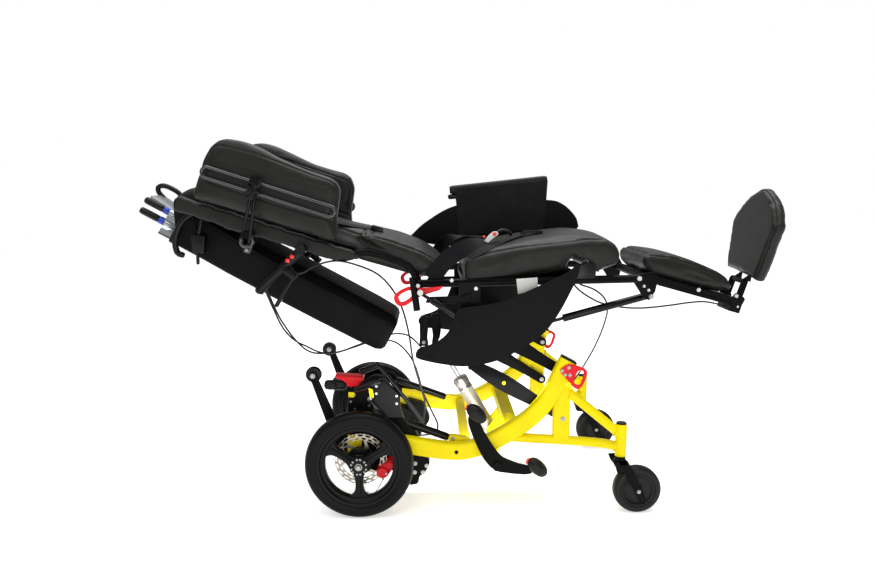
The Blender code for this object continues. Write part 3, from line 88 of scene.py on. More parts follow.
backSlope = math.radians(17.7)
bagSlope = math.radians(28.2)
onBack = slant(jointAt["recline"], backSlope, -1)
onBag = slant(spot(-0.85346, 0, 0.83978), bagSlope)  # from the middle of the bag's mouth
onLeg = slant(jointAt["leg_rest"], math.radians(15.5))
onFoot = slant(jointAt["foot_fold"], math.radians(9))


def onSide(x, z, y=0.0):
    return spot(x, y, z)


def spread(side, near, far):  # two distances from the middle, lowest Y first
    return sorted((side * near, side * far))


# Finishes

def tint(hexText):
    parts = [int(hexText[i:i + 2], 16) / 255 for i in (1, 3, 5)]
    return tuple(c / 12.92 if c <= 0.04045 else ((c + 0.055) / 1.055) ** 2.4 for c in parts) + (1.0,)


def addNode(tree, kind, settings=None, links=None,
            to=None):  # stops: a ramp's colours; to: the socket it feeds
    node = tree.nodes.new(kind)
    for key, value in (settings or {}).items():
        if key == "stops":
            for stop, (position, colour) in zip(node.color_ramp.elements, value):
                stop.position = position
                stop.color = tint(colour)
        elif isinstance(key, int) or key in node.inputs:
            node.inputs[key].default_value = value
        else:
            setattr(node, key, value)
    for key, source in (links or {}).items():
        tree.links.new(source.outputs[0], node.inputs[key])
    if to:
        tree.links.new(node.outputs[0], to)
    return node


def startFinish(name, colour, roughness, metallic=0.0, **sockets):
    finish = bpy.data.materials.new(name)
    finish.use_nodes = True
    tree = finish.node_tree
    shader = tree.nodes["Principled BSDF"]
    shader.inputs["Base Color"].default_value = tint(colour)
    shader.inputs["Roughness"].default_value = roughness
    shader.inputs["Metallic"].default_value = metallic
    for key, value in sockets.items():
        shader.inputs[key.replace("_", " ")].default_value = value
    place = addNode(tree, "ShaderNodeMapping")
    tree.links.new(addNode(tree, "ShaderNodeTexCoord").outputs["Object"], place.inputs["Vector"])
    return finish, tree, shader.inputs, place


def perMetre(millimetres):  # texture scale that gives a pattern this size
    return 1000.0 / millimetres


def powderCoat(name, low, high, roughness, coat, shine=0.5):
    # baked polyester powder on steel: even colour, soft orange peel about 2 mm wide, a little gloss
    finish, tree, shader, place = startFinish(name, low, roughness, Coat_Weight=coat, Coat_Roughness=0.12,
                                              Specular_IOR_Level=shine)
    drift = addNode(tree, "ShaderNodeTexNoise", {"Scale": perMetre(70), "Detail": 3.0}, {"Vector": place})
    addNode(tree, "ShaderNodeValToRGB", {"stops": ((0.3, low), (0.7, high))}, {"Fac": drift},
            shader["Base Color"])
    peel = addNode(tree, "ShaderNodeTexNoise", {"Scale": perMetre(2.2), "Detail": 2.0}, {"Vector": place})
    addNode(tree, "ShaderNodeMapRange", {"To Min": roughness - 0.05, "To Max": roughness + 0.07},
            {"Value": peel}, shader["Roughness"])
    addNode(tree, "ShaderNodeBump", {"Strength": 0.10, "Distance": 0.0004}, {"Height": peel},
            shader["Normal"])
    return finish


def leatherette(name, low, high, grainMm=2.4):
    # PVC-coated knit, embossed: pebble grain 1 mm wide, drawn at about 2 mm so that it shows,
    # a soft sheen and fine creases
    finish, tree, shader, place = startFinish(name, low, 0.46, Sheen_Weight=0.03, Sheen_Roughness=0.4,
                                              Specular_IOR_Level=0.22)
    drift = addNode(tree, "ShaderNodeTexNoise", {"Scale": perMetre(55), "Detail": 4.0}, {"Vector": place})
    addNode(tree, "ShaderNodeValToRGB", {"stops": ((0.3, low), (0.7, high))}, {"Fac": drift},
            shader["Base Color"])
    grain = addNode(tree, "ShaderNodeTexVoronoi", {"Scale": perMetre(grainMm), "feature": "SMOOTH_F1",
                                                   "Smoothness": 0.4}, {"Vector": place})
    addNode(tree, "ShaderNodeMapRange", {"To Min": 0.36, "To Max": 0.52}, {"Value": grain},
            shader["Roughness"])
    creases = addNode(tree, "ShaderNodeTexNoise", {"Scale": perMetre(34), "Detail": 5.0, "Roughness": 0.55},
                      {"Vector": place})
    relief = addNode(tree, "ShaderNodeMath", {"operation": "MULTIPLY_ADD", 1: 0.22}, {0: grain, 2: creases})
    addNode(tree, "ShaderNodeBump", {"Strength": 0.26, "Distance": 0.0014}, {"Height": relief},
            shader["Normal"])
    return finish


def wovenCloth(name, low, high, threadMm, roughness):
    # plain weave: two sets of threads crossing, drawn coarser than the real thread so that it shows
    finish, tree, shader, place = startFinish(name, low, roughness, Sheen_Weight=0.01, Sheen_Roughness=0.5,
                                              Specular_IOR_Level=0.10)
    turned = addNode(tree, "ShaderNodeMapping", {"Rotation": (0.0, bagSlope, 0.0)}, {"Vector": place})
    thread = perMetre(threadMm) / 6.2832  # wave bands repeat every 2 pi
    warp = addNode(tree, "ShaderNodeTexWave", {"Scale": thread, "bands_direction": "X", "Distortion": 0.4},
                   {"Vector": turned})
    weft = addNode(tree, "ShaderNodeTexWave", {"Scale": thread, "bands_direction": "Z", "Distortion": 0.4},
                   {"Vector": turned})
    weave = addNode(tree, "ShaderNodeMath", {"operation": "MULTIPLY"}, {0: warp, 1: weft})
    drift = addNode(tree, "ShaderNodeTexNoise", {"Scale": perMetre(60), "Detail": 4.0}, {"Vector": place})
    addNode(tree, "ShaderNodeValToRGB", {"stops": ((0.3, low), (0.7, high))}, {"Fac": drift},
            shader["Base Color"])
    addNode(tree, "ShaderNodeMapRange", {"To Min": roughness - 0.08, "To Max": roughness + 0.08},
            {"Value": weave}, shader["Roughness"])
    addNode(tree, "ShaderNodeBump", {"Strength": 0.30, "Distance": 0.0008}, {"Height": weave},
            shader["Normal"])
    return finish


def mouldedPlastic(name, low, high, roughness, pebbleMm, strength, shine=0.5):
    # injection-moulded or extruded, from a spark-eroded tool: fine even pebble, soft highlights
    finish, tree, shader, place = startFinish(name, low, roughness, Specular_IOR_Level=shine)
    pebble = addNode(tree, "ShaderNodeTexNoise", {"Scale": perMetre(pebbleMm), "Detail": 3.0,
                                                  "Roughness": 0.6}, {"Vector": place})
    addNode(tree, "ShaderNodeValToRGB", {"stops": ((0.3, low), (0.7, high))}, {"Fac": pebble},
            shader["Base Color"])
    addNode(tree, "ShaderNodeMapRange", {"To Min": roughness - 0.06, "To Max": roughness + 0.08},
            {"Value": pebble}, shader["Roughness"])
    addNode(tree, "ShaderNodeBump", {"Strength": strength, "Distance": 0.0006}, {"Height": pebble},
            shader["Normal"])
    return finish


def drawnMetal(name, low, high, roughness, stretch):
    # turned or drawn metal: fine lines one way, seen as a stretched highlight
    finish, tree, shader, place = startFinish(name, low, roughness, 1.0)
    lines = addNode(tree, "ShaderNodeMapping", {"Scale": stretch}, {"Vector": place})
    streak = addNode(tree, "ShaderNodeTexNoise", {"Scale": perMetre(6), "Detail": 4.0}, {"Vector": lines})
    addNode(tree, "ShaderNodeValToRGB", {"stops": ((0.3, low), (0.7, high))}, {"Fac": streak},
            shader["Base Color"])
    addNode(tree, "ShaderNodeMapRange", {"To Min": roughness - 0.06, "To Max": roughness + 0.10},
            {"Value": streak}, shader["Roughness"])
    addNode(tree, "ShaderNodeBump", {"Strength": 0.06, "Distance": 0.0003}, {"Height": streak},
            shader["Normal"])
    return finish


yellowCoat = powderCoat("powderCoatYellow", "#e6cf00", "#eedb00", 0.40, 0.04, 0.12)
redCoat = powderCoat("powderCoatRed", "#d00814", "#de101e", 0.38, 0.05, 0.20)
blackCoat = powderCoat("powderCoatBlack", "#040404", "#070707", 0.40, 0.0, 0.08)
glossBlack = powderCoat("glossEnamelBlack", "#040404", "#070707", 0.18, 0.0, 0.22)
blackChrome = powderCoat("blackChromePlate", "#101012", "#1a1a1c", 0.16, 0.60)
padCover = leatherette("leatheretteBlack", "#141412", "#1b1b19")
bagCloth = wovenCloth("coatedPolyesterWeave", "#070707", "#0b0b0b", 1.6, 0.62)
panelCloth = wovenCloth("coatedNylonWeave", "#141415", "#1c1c1e", 1.6, 0.62)
beltWebbing = wovenCloth("nylonWebbing", "#0b0b0d", "#131316", 2.4, 0.66)
guardSheet = mouldedPlastic("pebbledPolyethyleneSheet", "#060608", "#101012", 0.56, 2.6, 0.45, 0.10)
rimNylon = mouldedPlastic("glassFilledNylon", "#050505", "#090909", 0.34, 1.6, 0.10, 0.16)
softGrip = mouldedPlastic("mouldedVinylGrip", "#060606", "#0b0b0b", 0.28, 1.8, 0.12, 0.22)
tyreRubber = mouldedPlastic("vulcanisedTyreRubber", "#040405", "#080809", 0.40, 3.0, 0.14, 0.13)
wheelUrethane = mouldedPlastic("castUrethane", "#090908", "#10100f", 0.44, 2.4, 0.12, 0.24)
cableJacket = mouldedPlastic("extrudedVinylJacket", "#0a0a0b", "#141415", 0.40, 1.6, 0.08, 0.34)
redButton = mouldedPlastic("mouldedAcetalRed", "#e01a14", "#f02a20", 0.35, 2.0, 0.06)
blueCollar = mouldedPlastic("mouldedAcetalBlue", "#0c2f9c", "#1440b8", 0.38, 2.0, 0.06)
whiteNylon = mouldedPlastic("mouldedNylonWhite", "#c4c4be", "#d6d6d0", 0.42, 2.0, 0.06)
brightSteel = drawnMetal("polishedSteel", "#83837f", "#a09f9a", 0.24, (1.0, 1.0, 6.0))
zincBolt = drawnMetal("zincPlatedSteel", "#8d8e8b", "#b4b4b0", 0.30, (4.0, 1.0, 4.0))
cylinderAlloy = drawnMetal("anodisedAluminium", "#a9a59d", "#bfbbb3", 0.30, (1.0, 1.0, 0.4))
discSteel = drawnMetal("rolledStainlessSteel", "#8f8779", "#b4ac9d", 0.32, (4.0, 1.0, 4.0))
rampAlloy = drawnMetal("millAluminium", "#8f9193", "#aeb0b2", 0.36, (8.0, 1.0, 1.0))
print("finishes ready")

# Camera, fitted to the photograph: both tyres, both casters and the pads fall on their pixels

cameraSet = {"place": (-0.0946, -2.3382, 0.9528), "pitch": 8.119, "yaw": 0.59, "focal": 734.0, "wide": 875}
lens = bpy.data.cameras.new("studioCamera")
lens.sensor_fit = "HORIZONTAL"
lens.sensor_width = 36.0
lens.lens = cameraSet["focal"] * 36.0 / cameraSet["wide"]
lens.clip_end = 60.0
camera = bpy.data.objects.new("studioCamera", lens)
camera.location = spot(*cameraSet["place"])
pitch, yaw = math.radians(cameraSet["pitch"]), math.radians(cameraSet["yaw"])
view = Vector((math.sin(yaw) * math.cos(pitch), math.cos(yaw) * math.cos(pitch), -math.sin(pitch)))
camera.rotation_euler = view.to_track_quat("-Z", "Y").to_euler()
bpy.context.scene.collection.objects.link(camera)
bpy.context.scene.camera = camera


# Shapes: lists of points and faces

def skin(loops, ring=False, caps=True):
    count = len(loops[0])
    points = [Vector(p) for loop in loops for p in loop]
    faces = []
    for row in range(len(loops) if ring else len(loops) - 1):
        low, high = row * count, ((row + 1) % len(loops)) * count
        faces += [(low + i, low + (i + 1) % count, high + (i + 1) % count, high + i) for i in range(count)]
    if caps and not ring:
        faces.append(tuple(range(count)))
        faces.append(tuple(range(len(points) - count, len(points))))
    return points, faces


def spun(profile, base, axis, segments=48, ring=False):
    axis = Vector(axis).normalized()
    across = axis.orthogonal().normalized()
    other = axis.cross(across)
    turns = [2 * math.pi * i / segments for i in range(segments)]
    loops = [[Vector(base) + axis * height + (across * math.cos(t) + other * math.sin(t)) * radius
              for t in turns]
             for radius, height in profile]
    return skin(loops, ring)


def easedPoint(a, b, c, d, t):  # on a smooth curve between b and c
    bend, twist = 2 * a - 5 * b + 4 * c - d, 3 * b - a - 3 * c + d
    return 0.5 * (2 * b + (c - a) * t + bend * t ** 2 + twist * t ** 3)


def smoothLine(points, spacing):
    points = [Vector(p) for p in points]
    ends = [2 * points[0] - points[1]] + points + [2 * points[-1] - points[-2]]
    line = []
    for i in range(1, len(ends) - 2):
        a, b, c, d = ends[i - 1:i + 3]
        steps = max(1, round((c - b).length / spacing))
        for k in range(steps):
            line.append(easedPoint(a, b, c, d, k / steps))
    return line + [points[-1]]


def smoothRing(points, spacing):  # the same, closed
    line = smoothLine(points[-1:] + points + points[:2], spacing)
    lead = max(1, round((points[0] - points[-1]).length / spacing))
    tail = max(1, round((points[1] - points[0]).length / spacing)) + 1
    return line[lead:-tail]


def headingAt(line, i):
    return (line[min(i + 1, len(line) - 1)] - line[max(i - 1, 0)]).normalized()


def hose(points, radius, sides=12, ring=False, domed=False):
    points = [Vector(p) for p in points]
    radii = [radius] * len(points)
    if domed:  # rounded ends, inside the given length
        first, last = (points[1] - points[0]).normalized(), (points[-2] - points[-1]).normalized()
        dome = ((0.0, 0.35), (0.12, 0.68), (0.42, 0.93))
        points = ([points[0] + first * radius * a
                   for a, _ in dome] + [points[0] + first * radius] + points[1:-1]
                  + [points[-1] + last * radius] + [points[-1] + last * radius * a
                                                    for a, _ in reversed(dome)])
        radii = [radius * r for _, r in dome] + [radius] * (len(points) - 6) + [radius * r
                                                                                for _, r in reversed(dome)]
    count = len(points)
    across = None
    loops = []
    for i, point in enumerate(points):
        before = points[(i - 1) % count] if ring or i else point
        after = points[(i + 1) % count] if ring or i < count - 1 else point
        along = (after - before).normalized()
        across = along.orthogonal() if across is None else across - along * across.dot(along)
        across.normalize()
        other = along.cross(across)
        turns = [2 * math.pi * k / sides for k in range(sides)]
        loops.append([point + (across * math.cos(t) + other * math.sin(t)) * radii[i] for t in turns])
    return skin(loops, ring)


def circleLine(centre, axis, radius, count=24):
    axis = Vector(axis).normalized()
    across = axis.orthogonal().normalized()
    other = axis.cross(across)
    return [Vector(centre) + (across * math.cos(t) + other * math.sin(t)) * radius
            for t in (2 * math.pi * k / count for k in range(count))]


def roundLoop(centre, across, up, halfAcross, halfUp, corner, steps=4):  # rounded rectangle about a point
    loop = []
    for quarter in range(4):
        signAcross = 1 if quarter in (0, 3) else -1
        signUp = 1 if quarter in (0, 1) else -1
        for k in range(steps + 1):
            angle = math.pi / 2 * (quarter + k / steps)
            loop.append(centre + across * (signAcross * (halfAcross - corner) + corner * math.cos(angle))
                        + up * (signUp * (halfUp - corner) + corner * math.sin(angle)))
    return loop


def panel(outline, yLow, yHigh, toWorld=onSide):
    return skin([[toWorld(a, b, y) for a, b in outline] for y in (yLow, yHigh)])


def windowPanel(outline, window, yLow, yHigh, toWorld=onSide, count=72):  # a plate with one window
    centre = sum((Vector(p) for p in window), Vector((0, 0))) / len(window)
    rings = []
    for edge in (outline, window):
        ring = []
        for k in range(count):
            ray = Vector((math.cos(2 * math.pi * k / count), math.sin(2 * math.pi * k / count)))
            reach = 0.0
            for a, b in zip(edge, edge[1:] + edge[:1]):
                a, b = Vector(a) - centre, Vector(b) - centre
                cross = ray.x * (b - a).y - ray.y * (b - a).x
                if abs(cross) > 1e-12:
                    along = (a.x * (b - a).y - a.y * (b - a).x) / cross
                    share = (a.x * ray.y - a.y * ray.x) / cross
                    if -1e-9 <= share <= 1 + 1e-9:
                        reach = max(reach, along)
            ring.append(tuple(centre + ray * reach))
        rings.append(ring)
    loops = [[toWorld(a, b, y) for a, b in ring] for ring, y in ((rings[0], yLow), (rings[0], yHigh),
                                                                 (rings[1], yHigh), (rings[1], yLow))]
    return skin(loops, ring=True)


def bar(start, end, halfStart, halfEnd, steps=8):  # outline of a tapered bar with round ends
    start, end = Vector(start), Vector(end)
    heading = math.atan2(end.y - start.y, end.x - start.x)
    outline = []
    for centre, half, first in ((end, halfEnd, heading - math.pi / 2),
                                (start, halfStart, heading + math.pi / 2)):
        for step in range(steps + 1):
            angle = first + math.pi * step / steps
            outline.append((centre.x + half * math.cos(angle), centre.y + half * math.sin(angle)))
    return outline


def roundOutline(corners, radius, steps=4):  # fillet each corner of a side-view outline
    corners = [Vector(c) for c in corners]
    outline = []
    for i, corner in enumerate(corners):
        before, after = corners[i - 1], corners[(i + 1) % len(corners)]
        a = corner + (before - corner).normalized() * min(radius, 0.45 * (before - corner).length)
        b = corner + (after - corner).normalized() * min(radius, 0.45 * (after - corner).length)
        for t in (k / steps for k in range(steps + 1)):
            outline.append(tuple((1 - t) ** 2 * a + 2 * t * (1 - t) * corner + t ** 2 * b))
    return outline


def strap(points, width, thick, across, spacing=0.010):  # flat webbing along a line
    line = smoothLine(points, spacing)
    loops = []
    for i, point in enumerate(line):
        along = headingAt(line, i)
        share = i / (len(line) - 1) * (len(across) - 1)
        low = min(int(share), len(across) - 2)
        turn = Vector(across[low]).lerp(Vector(across[low + 1]), share - low)
        side = (turn - along * turn.dot(along)).normalized()
        up = along.cross(side)
        loops.append([point + side * a * width / 2 + up * b * thick / 2 for a, b in ((1, 1), (-1, 1),
                                                                                     (-1, -1), (1, -1))])
    return skin(loops)


def boltHead(place, axis, radius, height, sides):  # a head with a chamfer on a washer
    washer = [(radius * 1.25, 0.0), (radius * 1.25, height * 0.22), (radius * 0.2, height * 0.23)]
    head = [(radius, height * 0.2), (radius, height * 0.8), (radius * 0.82, height)]
    return [spun(washer, place, axis, 18), spun(head, place, axis, sides)]


def makeMesh(name, shapes):
    points, faces = [], []
    for shapePoints, shapeFaces in shapes:
        base = len(points)
        points += [tuple(p) for p in shapePoints]
        faces += [tuple(base + i for i in face) for face in shapeFaces]
    mesh = bpy.data.meshes.new(name)
    mesh.from_pydata(points, [], faces)
    return mesh


def finishMesh(mesh, bevel=0.0, segments=2, sharp=38):
    work = bmesh.new()
    work.from_mesh(mesh)
    bmesh.ops.remove_doubles(work, verts=work.verts, dist=0.00002)
    bmesh.ops.recalc_face_normals(work, faces=work.faces)
    if bevel:
        bmesh.ops.dissolve_limit(work, angle_limit=math.radians(1.5), verts=work.verts, edges=work.edges)
        edges = [e for e in work.edges if len(e.link_faces) == 2 and e.calc_face_angle() > math.radians(32)]
        bmesh.ops.bevel(work, geom=edges, offset=bevel, segments=segments, profile=0.6, affect="EDGES",
                        clamp_overlap=True)
    work.to_mesh(mesh)
    work.free()
    mesh.shade_smooth()
    mesh.set_sharp_from_angle(angle=math.radians(sharp))


def addPiece(name, shapes, finish, body, stands=(), bevel=0.0, sharp=38):
    mesh = makeMesh(name, shapes)
    finishMesh(mesh, bevel, sharp=sharp)
    mesh.materials.append(finish)
    piece = bpy.data.objects.new(name, mesh)
    bpy.context.scene.collection.objects.link(piece)
    if body:
        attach(piece, body)
    if stands:
        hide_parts(*stands)
    return piece


def dressNode(node, finish, bevel=0.0012, sharp=38):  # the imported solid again, with its edges broken
    source = frame["nodes"][node]
    mesh = source.data.copy()
    mesh.materials.clear()
    finishMesh(mesh, bevel, sharp=sharp)
    mesh.materials.append(finish)
    piece = bpy.data.objects.new(node + "_finished", mesh)
    bpy.context.scene.collection.objects.link(piece)
    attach(piece, source["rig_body"])
    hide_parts(node)
    return piece


boltsOn = {}


def bolt(body, place, side, radius, height=0.004, finish=zincBolt,
         sides=6):  # kept for one piece on each body
    boltsOn.setdefault((body, finish.name), []).extend(boltHead(place, (0, side, 0), radius, height, sides))


# Cables: each is a chain of short runs, cut at the given shares of its length

def lengthOf(points):
    return sum((b - a).length for a, b in zip(points, points[1:]))


def evenLine(points, spacing):  # even steps, with sharp turns eased
    points = [p.copy() for p in points]
    for _ in range(14):
        between = [(a + 2 * b + c) / 4 for a, b, c in zip(points, points[1:], points[2:])]
        points = [points[0]] + between + [points[-1]]
    total = lengthOf(points)
    count = max(4, round(total / spacing))
    line, at, gone = [points[0]], 0, 0.0
    for k in range(1, count):
        goal = total * k / count
        while gone + (points[at + 1] - points[at]).length < goal:
            gone += (points[at + 1] - points[at]).length
            at += 1
        line.append(points[at].lerp(points[at + 1], (goal - gone) / (points[at + 1] - points[at]).length))
    return line + [points[-1]]


def layCable(name, node, radius, route, cuts):
    line = evenLine(smoothLine([spot(*p) for p in route], 0.004), 0.005)
    total = lengthOf(line)
    marks = [lengthOf(line[:k + 1]) / total for k in range(len(line))]
    edges = [0.0] + list(cuts) + [1.0]
    for i, (low, high) in enumerate(zip(edges, edges[1:])):
        first = min(range(len(marks)), key=lambda k: abs(marks[k] - low))
        last = min(range(len(marks)), key=lambda k: abs(marks[k] - high))
        run = line[first:last + 1]
        piece = addPiece(name + "_" + str(i + 1), [hose(run, radius)], cableJacket, None)
        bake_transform(piece)
        if i == 0 and node:
            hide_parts(node)


cableSet = {"radius": 0.0027}
layCable("releaseCable", "release_cable", cableSet["radius"],
         [(-.580, -.2120, .658), (-.580, -.202, .658), (-.562, -.184, .600), (-.540, -.150, .530),
          (-.512, -.110, .482), (-.483, -.085, .460), (-.445, -.070, .437), (-.403, -.045, .4270),
          (-.348, .025, .430), (-.298, .080, .437), (-.255, .085, .443), (-.212, .050, .444),
          (-.178, 0, .430), (-.149, -.060, .405), (-.132, -.080, .364), (-.115, -.095, .307),
          (-.085, -.120, .249), (-.070, -.145, .222), (-.078, -.170, .207), (-.100, -.185, .205),
          (-.125, -.1925, .2055), (-.142, -.1974, .206)],
         (0.22, 0.46, 0.62, 0.76))
layCable("tiltCable", None, cableSet["radius"],
         [(-.576, -.2120, .664), (-.572, -.200, .650), (-.545, -.160, .560), (-.505, -.120, .482),
          (-.468, -.100, .444), (-.427, -.085, .4360), (-.381, -.045, .433), (-.335, .030, .4365),
          (-.295, .075, .443), (-.255, .080, .455), (-.215, .055, .470), (-.168, -.020, .481),
          (-.136, -.075, .468), (-.110, -.090, .445), (-.060, -.098, .436), (-.040, -.100, .440),
          (.0196, -.100, .455)],
         (0.40, 0.74))
layCable("brakeCable", "brake_cable", cableSet["radius"],
         [(-.4797, -.2258, .703), (-.466, -.2258, .703), (-.432, -.216, .724), (-.400, -.195, .734),
          (-.365, -.172, .736), (-.310, -.165, .722), (-.250, -.170, .696), (-.205, -.190, .652),
          (-.175, -.212, .596), (-.156, -.220, .521), (-.146, -.206, .445), (-.128, -.182, .370),
          (-.110, -.172, .300), (-.118, -.172, .236), (-.124, -.184, .210), (-.124, -.1974, .210)],
         (0.14, 0.40, 0.55, 0.75))
layCable("casterLockCable", "caster_lock_cable", cableSet["radius"],
         [(.350, -.152, .6780), (.350, -.152, .664), (.398, -.150, .648), (.436, -.135, .618),
          (.456, -.095, .578), (.468, -.030, .536), (.471, .040, .476), (.462, .110, .402),
          (.444, .190, .318), (.424, .240, .258), (.416, .2536, .232), (.416, .2536, .2149)],
         (0.28, 0.52))
layCable("legSlideCable", "leg_slide_cable", cableSet["radius"],
         [(.340, -.120, .6778), (.340, -.120, .664), (.366, -.120, .636), (.424, -.118, .602),
          (.490, -.110, .586), (.560, -.096, .580), (.650, -.064, .582), (.730, -.024, .585),
          (.790, 0, .585), (.8322, 0, .57823), (.85601, 0, .57163)],
         (0.62,))
print("camera and cables placed")

# Base: yellow side frames, tubes bent and welded

frameSet = {"middle": 0.248, "halfWide": 0.020, "halfDeep": 0.025, "corner": 0.009,
            "beam": [(-.200, .203), (-.155, .196), (0, .179), (.130, .230), (.236, .316), (.309, .452)],
            "postX": 0.292, "postHalf": (0.025, 0.014), "postZ": (0.214, 0.392),
            "lower": [(.130, .248, .220), (.300, .248, .209), (.404, .248, .2005), (.440, .262, .1985),
                      (.464, .276, .197)],
            "diagonal": [(.300, .248, .366), (.464, .276, .234)], "stem": (.464, .276)}
flat = Vector((0, 1, 0))
fore = Vector((1, 0, 0))


def mirrored(points, side):
    return [spot(x, side * y, z) for x, y, z in points]


def upFrom(along):  # square to a run in the side view
    return Vector((-along.z, 0, along.x))


for hand, side in hands:
    line = smoothLine([spot(x, side * frameSet["middle"], z) for x, z in frameSet["beam"]], 0.012)
    wide, deep = frameSet["halfWide"], frameSet["halfDeep"]
    loops = [roundLoop(point, flat, upFrom(headingAt(line, i)), wide, deep, frameSet["corner"])
             for i, point in enumerate(line)]
    along = (line[-1] - line[-2]).normalized()
    plug = [roundLoop(line[-1] + along * rise, flat, upFrom(along), wide - pull, deep - pull, 0.008)
            for rise, pull in ((0.0, 0.0005), (0.004, 0.0005), (0.0058, 0.0025))]
    post = [roundLoop(spot(frameSet["postX"], side * frameSet["middle"], z), fore, flat,
                      *frameSet["postHalf"], 0.007)
            for z in frameSet["postZ"]]
    lower = smoothLine(mirrored(frameSet["lower"], side), 0.012)
    diagonal = mirrored(frameSet["diagonal"], side)
    stem = spot(frameSet["stem"][0], side * frameSet["stem"][1], 0)
    housing = spun([(.0140, .1702), (.0165, .1722), (.0165, .2660), (.0152, .2680)], stem, (0, 0, 1), 32)
    run = (diagonal[1] - diagonal[0]).normalized()
    into = (lower[-1] - lower[-2]).normalized()
    welds = [hose(circleLine(diagonal[1] - run * 0.019, run + Vector((0.5, 0, 0)), 0.0160), 0.0026, 8,
                  ring=True),
             hose(circleLine(lower[-1] - into * 0.0165, into, 0.0143), 0.0026, 8, ring=True),
             hose(circleLine(diagonal[0] + run * 0.021, run + Vector((0.9, 0, 0)), 0.0165), 0.0026, 8,
                  ring=True)]
    tubes = [skin(loops), skin(post), hose(lower, 0.0138, 16), hose(diagonal, 0.014, 16), housing]
    addPiece(hand + "_sideFrame", tubes + welds, yellowCoat, "base", stands=(hand + "_side_frame",))
    cap = spun([(.0150, .2676), (.0154, .2700), (.0140, .2722), (.004, .2728)], stem, (0, 0, 1), 28)
    addPiece(hand + "_framePlugs", [skin(plug), cap], softGrip, "base")
    bolt("base", spot(.295, side * 0.262, .278), side, 0.0058)
    bolt("base", spot(-.0176, side * 0.268, .1796), side, 0.0045, 0.003, blackCoat, 16)
dressNode("cross_member", yellowCoat, 0.002)
crossTube = [roundLoop(spot(.011, y, .186), fore, Vector((0, 0, 1)), 0.015, 0.017, 0.005)
             for y in (-.2277, .2277)]
addPiece("rearCrossTube", [skin(crossTube)], yellowCoat, "base")

# Red tie-down plates: front ones bolted to the beam, rear ones on black bars under the seat

tieSet = {"front": [(.277, .427), (.306, .447), (.334, .441), (.358, .430), (.3615, .417), (.351, .386),
                    (.337, .369), (.323, .374), (.313, .387)],
          "frontWindow": [(.336, .429), (.349, .425), (.351, .417), (.342, .386), (.333, .382),
                          (.3205, .392), (.3256, .410)],
          "rear": [(-.200, .637), (-.194, .6475), (-.176, .660), (-.153, .669), (-.130, .6655),
                   (-.109, .663), (-.078, .6665), (-.050, .671), (-.072, .653), (-.105, .646),
                   (-.129, .636), (-.150, .622), (-.166, .611), (-.186, .610), (-.197, .623)],
          "rearWindow": [(-.187, .637), (-.180, .6454), (-.1555, .6577), (-.138, .6530), (-.1495, .637),
                         (-.170, .623), (-.182, .623)],
          "rearBar": [(.024, .648), (0, .640), (-.100, .6375), (-.108, .6205), (.020, .616)]}
for hand, side in hands:
    front = windowPanel(roundOutline(tieSet["front"], 0.012), roundOutline(tieSet["frontWindow"], 0.008),
                        *spread(side, .2683, .2743))
    addPiece(hand + "_frontTieDown", [front], redCoat, "base", stands=(hand + "_front_tie_down",),
             bevel=0.0012)
    for x, z in ((.3065, .4352), (.2864, .4262), (.31, .4133), (.2959, .4141)):
        bolt("base", spot(x, side * .2743, z), side, 0.0040, 0.0035)
    rear = windowPanel(roundOutline(tieSet["rear"], 0.010), roundOutline(tieSet["rearWindow"], 0.008),
                       *spread(side, .2343, .2403))
    addPiece(hand + "_rearTieDown", [rear], redCoat, "seat", stands=(hand + "_rear_tie_down",),
             bevel=0.0012)
    tieBar = panel(tieSet["rearBar"], *spread(side, .2340, .2420))
    addPiece(hand + "_rearTieBar", [tieBar], blackCoat, "seat", bevel=0.001)
print("side frames and tie-downs built")

# Rear wheels: tyre, three-spoke rim, pierced brake disc, red caliper

wheelSet = {"axle": (-.300, .300, .1575),
            "tyre": [(.1185, .0180), (.1215, .0205), (.1262, .0228), (.1340, .0252), (.1420, .0258),
                     (.1490, .0238), (.1535, .0195), (.1562, .0130), (.1575, .0055)],
            "rim": [(.0990, .0090), (.1015, .0128), (.1060, .0142), (.1105, .0138), (.1130, .0165),
                    (.1150, .0200), (.1215, .0212), (.1225, .0190), (.1190, .0150)],
            "hub": [(.0108, .0262), (.0235, .0262), (.0270, .0235), (.0275, .0080), (.0300, .0060),
                    (.0300, -.0060), (.0275, -.0100), (.0300, -.0140), (.0395, -.0220), (.0395, -.0380),
                    (.0108, -.0380)],
            "spoke": [(.024, .0165, .0215), (.030, .0145, .0190), (.040, .0122, .0150),
                      (.055, .0112, .0120), (.070, .0118, .0100), (.082, .0145, .0090),
                      (.090, .0195, .0088), (.096, .0275, .0088), (.1005, .0370, .0088),
                      (.104, .0460, .0088)],
            "discRows": ((.0580, .0675, 0.0), (.0675, .0770, 0.5)), "discCells": 20, "discOut": -.040,
            "discThick": .0028,
            "wire": [(-.2948, .262, .0594), (-.2631, .262, .0509), (-.2388, .264, .0884),
                     (-.236, .268, .105)]}


